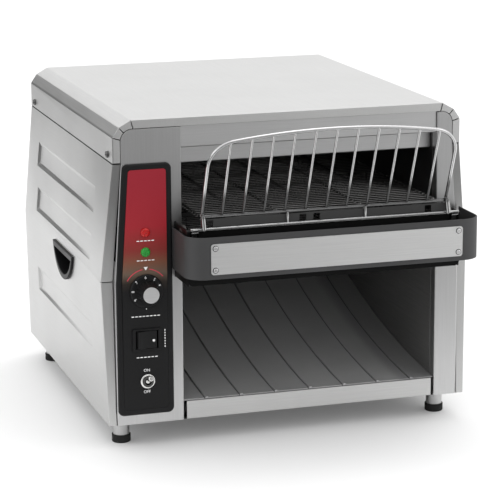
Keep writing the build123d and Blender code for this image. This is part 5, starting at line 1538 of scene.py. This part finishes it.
@dataclass
class Drive:
    """Shafts, wheels, chain, gearmotor, fan and the heating tubes."""

    shop: Workshop
    plain: Sequence[str] = ("motor_shaft", "driven_sprocket", "motor_sprocket", "motor_bracket",
                            "tray_runners")
    scorched: Sequence[str] = ("drive_shaft", "idler_shaft", "drive_sprockets", "idler_rollers")
    coil_radius: float = 0.0024
    coil_wire: float = 0.0005
    coil_pitch: float = 0.004
    coil_steps: int = 7
    coil_free: float = 0.02

    def build(self) -> list[Piece]:
        """Build the drive and what sits in the tunnel.

        Returns:
            The pieces.
        """
        made = self.shop.dress_all(
            *((node, PLAIN, FINE) for node in self.plain),
            *((node, SCORCHED, FINE, "scorched_steel") for node in self.scorched),
            ("belt_support", DARK_COAT_AND_SHADOW, FINE, "soot_steel"),
            ("shaft_bushes", CastMetal((0.16, 0.155, 0.15)), FINE),
            ("drive_chain", BLACK, FINE),
            ("gearmotor", CastMetal((0.20, 0.205, 0.21)), FINE),
            ("fan_housing", PLASTIC, FINE),
            ("fan_rotor", PLASTIC, FINE),
            ("cord_gland", PLASTIC, MOULDED),
            ("heating_tubes", FrostedTube(), UNBROKEN),
            ("tube_caps", CERAMIC, FINE))
        return [*made, self._coils()]

    def _coils(self) -> Piece:
        """The wound wire inside each tube.

        Returns:
            All the windings as one piece.
        """
        coils = []
        for low, high in self.shop.islands("heating_tubes"):
            turns = int((high.x - low.x - self.coil_free) / self.coil_pitch)
            bpy.ops.mesh.primitive_circle_add(
                vertices=4, radius=self.coil_wire, rotation=(math.pi / 2, 0.0, 0.0),
                location=(0.0, 0.0, self.coil_radius))
            coil = applied(steady(bpy.context.active_object), "SCREW", axis="X",
                           screw_offset=self.coil_pitch, iterations=turns,
                           steps=self.coil_steps, render_steps=self.coil_steps)
            start = (low + high) / 2 - Vector((turns * self.coil_pitch / 2, 0.0, 0.0))
            coils.append(moved(coil, Matrix.Translation(start)))
        return self.shop.extra(coils, "tube_windings", "heating_tubes", WINDING, "winding_wire")


# ------------------------------------------------ rack, bumper, slide and feet
@dataclass
class FeedRack:
    """Welded wire rack over the nose of the belt."""

    shop: Workshop
    polish: float = 0.0003

    def build(self) -> list[Piece]:
        """Build the rack.

        Returns:
            Its pieces.
        """
        shop = self.shop
        piece = shop.merged("feed_rack", "feed_rack_made")
        with Editing(piece, "FACE", everything=True):
            bpy.ops.transform.shrink_fatten(value=-self.polish)
        return [shop.finish(piece, piece.name, "feed_rack", RACK_WIRE, "rack_plating", 40.0),
                shop.dress("rack_clips", RACK_WIRE, USUAL, "rack_plating")]


@dataclass
class Bumper:
    """Black band round the nose with its bare plate."""

    shop: Workshop
    # Size of the dark rings that paint the shadow under the plate's screws.
    shadow_ring_rim: float = 0.0006
    shadow_ring_thick: float = 0.0004
    shadow_ring_sides: int = 24

    def build(self) -> list[Piece]:
        """Build the bumper.

        Returns:
            Its pieces.
        """
        made = self.shop.dress_all(
            ("bumper", BLACK, BLUNT),
            ("bumper_plate", PLATE, SMALL),
            ("bumper_plate_screws", PLATE_SCREW, UNBROKEN, "plate_screw_zinc"),
            ("bumper_brackets", PLAIN, FOLD))
        return [*made, self._screw_shadow_rings()]

    def _screw_shadow_rings(self) -> Piece:
        """Dark rings under the heads of the plate's screws, as painted shadow.

        Returns:
            The rings as one piece.
        """
        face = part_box("bumper_plate")[0].y
        made = []
        for low, high in self.shop.islands("bumper_plate_screws"):
            middle, radius = (low + high) / 2, (high.x - low.x) / 2
            # Painted shadow: a thin dark ring round each screw head.
            made.append(drum(Way.Y, radius + self.shadow_ring_rim, self.shadow_ring_thick,
                             (middle.x, face, middle.z), self.shadow_ring_sides))
        return self.shop.extra(made, "plate_screw_shadow_rings", "bumper_plate_screws", DARK_COAT_AND_SHADOW,
                               "screw_shadow_black")


@dataclass
class Slide:
    """Curved discharge slide and the crumb tray under it."""

    shop: Workshop
    colour: Colour = (0.35, 0.35, 0.35)
    foot: float = 0.0029
    # Painted shade: the slide is darkened towards its right end.
    right_end: tuple[float, float] = (-0.045, -0.03)
    right_shade_tone: float = 0.7
    # The slide is darker towards its upper end.
    darker_upper_end: Fade = Fade(0.1, (("Z", 0.142, 0.172),))

    def build(self) -> list[Piece]:
        """Build the slide.

        Returns:
            Its pieces.
        """
        low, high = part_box("discharge_chute")
        right = Fade(self.right_shade_tone, (band("X", high.x, self.right_end),))
        sheet = RibbedSheet(self.colour, (low.x + high.x) / 2 - self.foot, (right, self.darker_upper_end))
        return self.shop.dress_all(("discharge_chute", sheet, SMALL),
                                   ("crumb_tray", TRAY, FOLD, "tray_steel"))


@dataclass
class Feet:
    """Sleeves under the floor with rubber pads."""

    shop: Workshop

    def build(self) -> list[Piece]:
        """Build the feet."""
        return self.shop.dress_all(("foot_sleeves", SLEEVE, SMALL, "sleeve_steel"),
                                   ("foot_pads", RUBBER, MOULDED))


# ------------------------------------------------ studio
FLAT = (0.0, 0.0)
SIDEWAYS = (0.0, math.pi / 2)
UPRIGHT = (math.pi / 2, 0.0)


@dataclass(frozen=True)
class Card:
    """Grey card that only steel sees, brighter to the right and to the back.

    The shade and near pairs are X and Y in the frame, where a change starts and is full.
    """

    name: str
    place: tuple[float, float, float]
    size: tuple[float, float]
    turn: tuple[float, float]
    dark: float
    pale: float
    shade: tuple[float, float] = (0.0, 1.2)
    near: tuple[float, float] = (-1.0, -0.45)
    near_gain: float = 0.3

    def build(self) -> None:
        """Put the card into the studio, hidden from all but mirrored rays."""
        bpy.ops.mesh.primitive_plane_add(size=1.0, location=self.place,
                                         rotation=(*self.turn, 0.0))
        card = bpy.context.active_object
        card.scale = (*self.size, 1.0)
        steady(card)
        card.name = self.name
        card.data.materials.append(self._glow())
        card.visible_camera = card.visible_diffuse = card.visible_shadow = False
        card.visible_transmission = False

    def _glow(self) -> bpy.types.Material:
        """The card's shine.

        Returns:
            Its material.
        """
        graph = Graph(self.name)
        colour = graph.blend(graph.axis("X").between(*self.shade), (self.dark,) * 3,
                             (self.pale,) * 3)
        near = graph.axis("Y").between(*self.near) * self.near_gain + 1.0
        glow = graph.add("ShaderNodeEmission", {}, {"Color": colour, "Strength": near})
        graph.feed(graph.output.inputs["Surface"], glow)
        return graph.material


@dataclass(frozen=True)
class SoftBox:
    """Square lamp that shines on the object."""

    name: str
    place: tuple[float, float, float]
    size: float
    power: float
    target: tuple[float, float, float] = (0.0, 0.0, 0.15)

    def build(self) -> None:
        """Put the lamp into the studio."""
        data = bpy.data.lights.new(self.name, "AREA")
        data.shape = "SQUARE"
        data.size = self.size
        data.energy = self.power
        lamp = added(self.name, data)
        lamp.rotation_mode = "QUATERNION"
        aim = Vector(self.target) - Vector(self.place)
        lamp.rotation_quaternion = aim.to_track_quat("-Z", "Y")
        lamp.location = self.place


@dataclass
class Studio:
    """Camera, floor, world, cards and lamps."""

    place: tuple[float, float, float] = (-0.68066, -2.20168, 0.69048)
    yaw: float = math.radians(17.267)
    pitch: float = math.radians(12.935)
    roll: float = math.radians(-0.321)
    sensor: float = 36.0
    lens: float = 156.342
    shift: tuple[float, float] = (0.00484, -0.0006)
    clip: tuple[float, float] = (0.1, 50.0)
    world_light: float = 1.32
    floor_size: float = 40.0
    floor_tones: tuple[Colour, Colour] = ((0.76, 0.76, 0.76), (0.78, 0.78, 0.78))
    floor_glow: float = 0.1
    floor_cloud: float = 3.0
    floor_roughness: float = 0.9
    cards: Sequence[Card] = (
        Card("card_low", (0.0, -1.35, 0.004), (3.2, 1.9), FLAT, 0.34, 0.80),
        Card("card_left", (-1.2, 0.30, 0.004), (1.0, 1.0), FLAT, 0.01, 0.01),
        Card("card_side", (-1.7, 0.40, 0.40), (0.8, 1.2), SIDEWAYS, 0.01, 0.01),
        Card("card_high", (-0.3, -3.2, 1.1), (4.0, 2.2), UPRIGHT, 0.24, 0.50),
        Card("card_back", (-1.5, 3.2, 0.62), (2.4, 1.24), UPRIGHT, 0.06, 0.2))
    lamps: Sequence[SoftBox] = (SoftBox("key", (0.5, 0.4, 2.2), 1.3, 9.0),
                                SoftBox("left", (-2.2, 0.6, 1.0), 1.6, 6.0),
                                SoftBox("right", (2.0, -1.4, 1.4), 1.4, 5.0))

    def build(self) -> None:
        """Set up everything that isn't the object."""
        self._camera()
        self._world()
        self._floor()
        for each in (*self.cards, *self.lamps):
            each.build()
        bpy.context.scene.view_settings.view_transform = "Standard"

    def _camera(self) -> None:
        """The camera of the main view."""
        data = bpy.data.cameras.new("camera")
        data.sensor_width = self.sensor
        data.lens = self.lens
        data.shift_x, data.shift_y = self.shift
        data.clip_start, data.clip_end = self.clip
        camera = added("camera", data)
        ahead = Vector((math.sin(self.yaw) * math.cos(self.pitch),
                        math.cos(self.yaw) * math.cos(self.pitch), -math.sin(self.pitch)))
        side = Vector((math.cos(self.yaw), -math.sin(self.yaw), 0.0))
        up = side.cross(ahead)
        cosine, sine = math.cos(self.roll), math.sin(self.roll)
        right = side * cosine + up * sine
        above = up * cosine - side * sine
        turn = Matrix((right, above, -ahead)).transposed().to_4x4()
        camera.matrix_world = Matrix.Translation(self.place) @ turn
        bpy.context.scene.camera = camera

    def _world(self) -> None:
        """White where it is seen or mirrored, another strength as a light."""
        world = bpy.data.worlds.new("studio")
        tree = NodeTree(world)
        camera, glossy, through = [
            tree.add("ShaderNodeLightPath", {}, {}, f"Is {kind} Ray")
            for kind in ("Camera", "Glossy", "Transmission")]
        light = tree.add("ShaderNodeBackground", {}, {0: WHITEST, 1: self.world_light})
        seen = tree.add("ShaderNodeBackground", {}, {0: WHITEST})
        share = camera.larger(glossy).larger(through)
        mixed = tree.add("ShaderNodeMixShader", {}, {0: share, 1: light, 2: seen})
        tree.feed(tree.nodes.new("ShaderNodeOutputWorld").inputs["Surface"], mixed)
        bpy.context.scene.world = world

    def _floor(self) -> None:
        """Wide floor that looks white but keeps a soft shadow."""
        bpy.ops.mesh.primitive_plane_add(size=self.floor_size, location=(0.0, 0.0, 0.0))
        floor = bpy.context.active_object
        floor.name = "floor"
        graph = Graph("floor")
        seen = graph.add("ShaderNodeLightPath", {}, {}, "Is Camera Ray")
        graph.set(Base_Color=graph.blend(graph.noise(self.floor_cloud), *self.floor_tones),
                  Roughness=self.floor_roughness,
                  Emission_Color=graph.blend(seen, BLACKEST, WHITEST),
                  Emission_Strength=self.floor_glow)
        floor.data.materials.append(graph.material)


def main() -> None:
    """Build every sub-assembly in order and report its pieces."""
    logging.basicConfig(level=logging.INFO, format="%(message)s")
    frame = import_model()
    for each in list(bpy.context.scene.objects):
        if each.name in ("Cube", "Camera", "Light"):
            bpy.data.objects.remove(each)
    shop = Workshop(frame)
    Studio().build()
    for part in (Casing(shop), FrontFace(shop), ControlPanel(shop), WireBelt(shop), Drive(shop),
                 FeedRack(shop), Bumper(shop), Slide(shop), Feet(shop)):
        made = part.build()
        log.info("%s: %s", type(part).__name__, ", ".join(piece.name for piece in made))


if __name__ == "__main__":
    main()
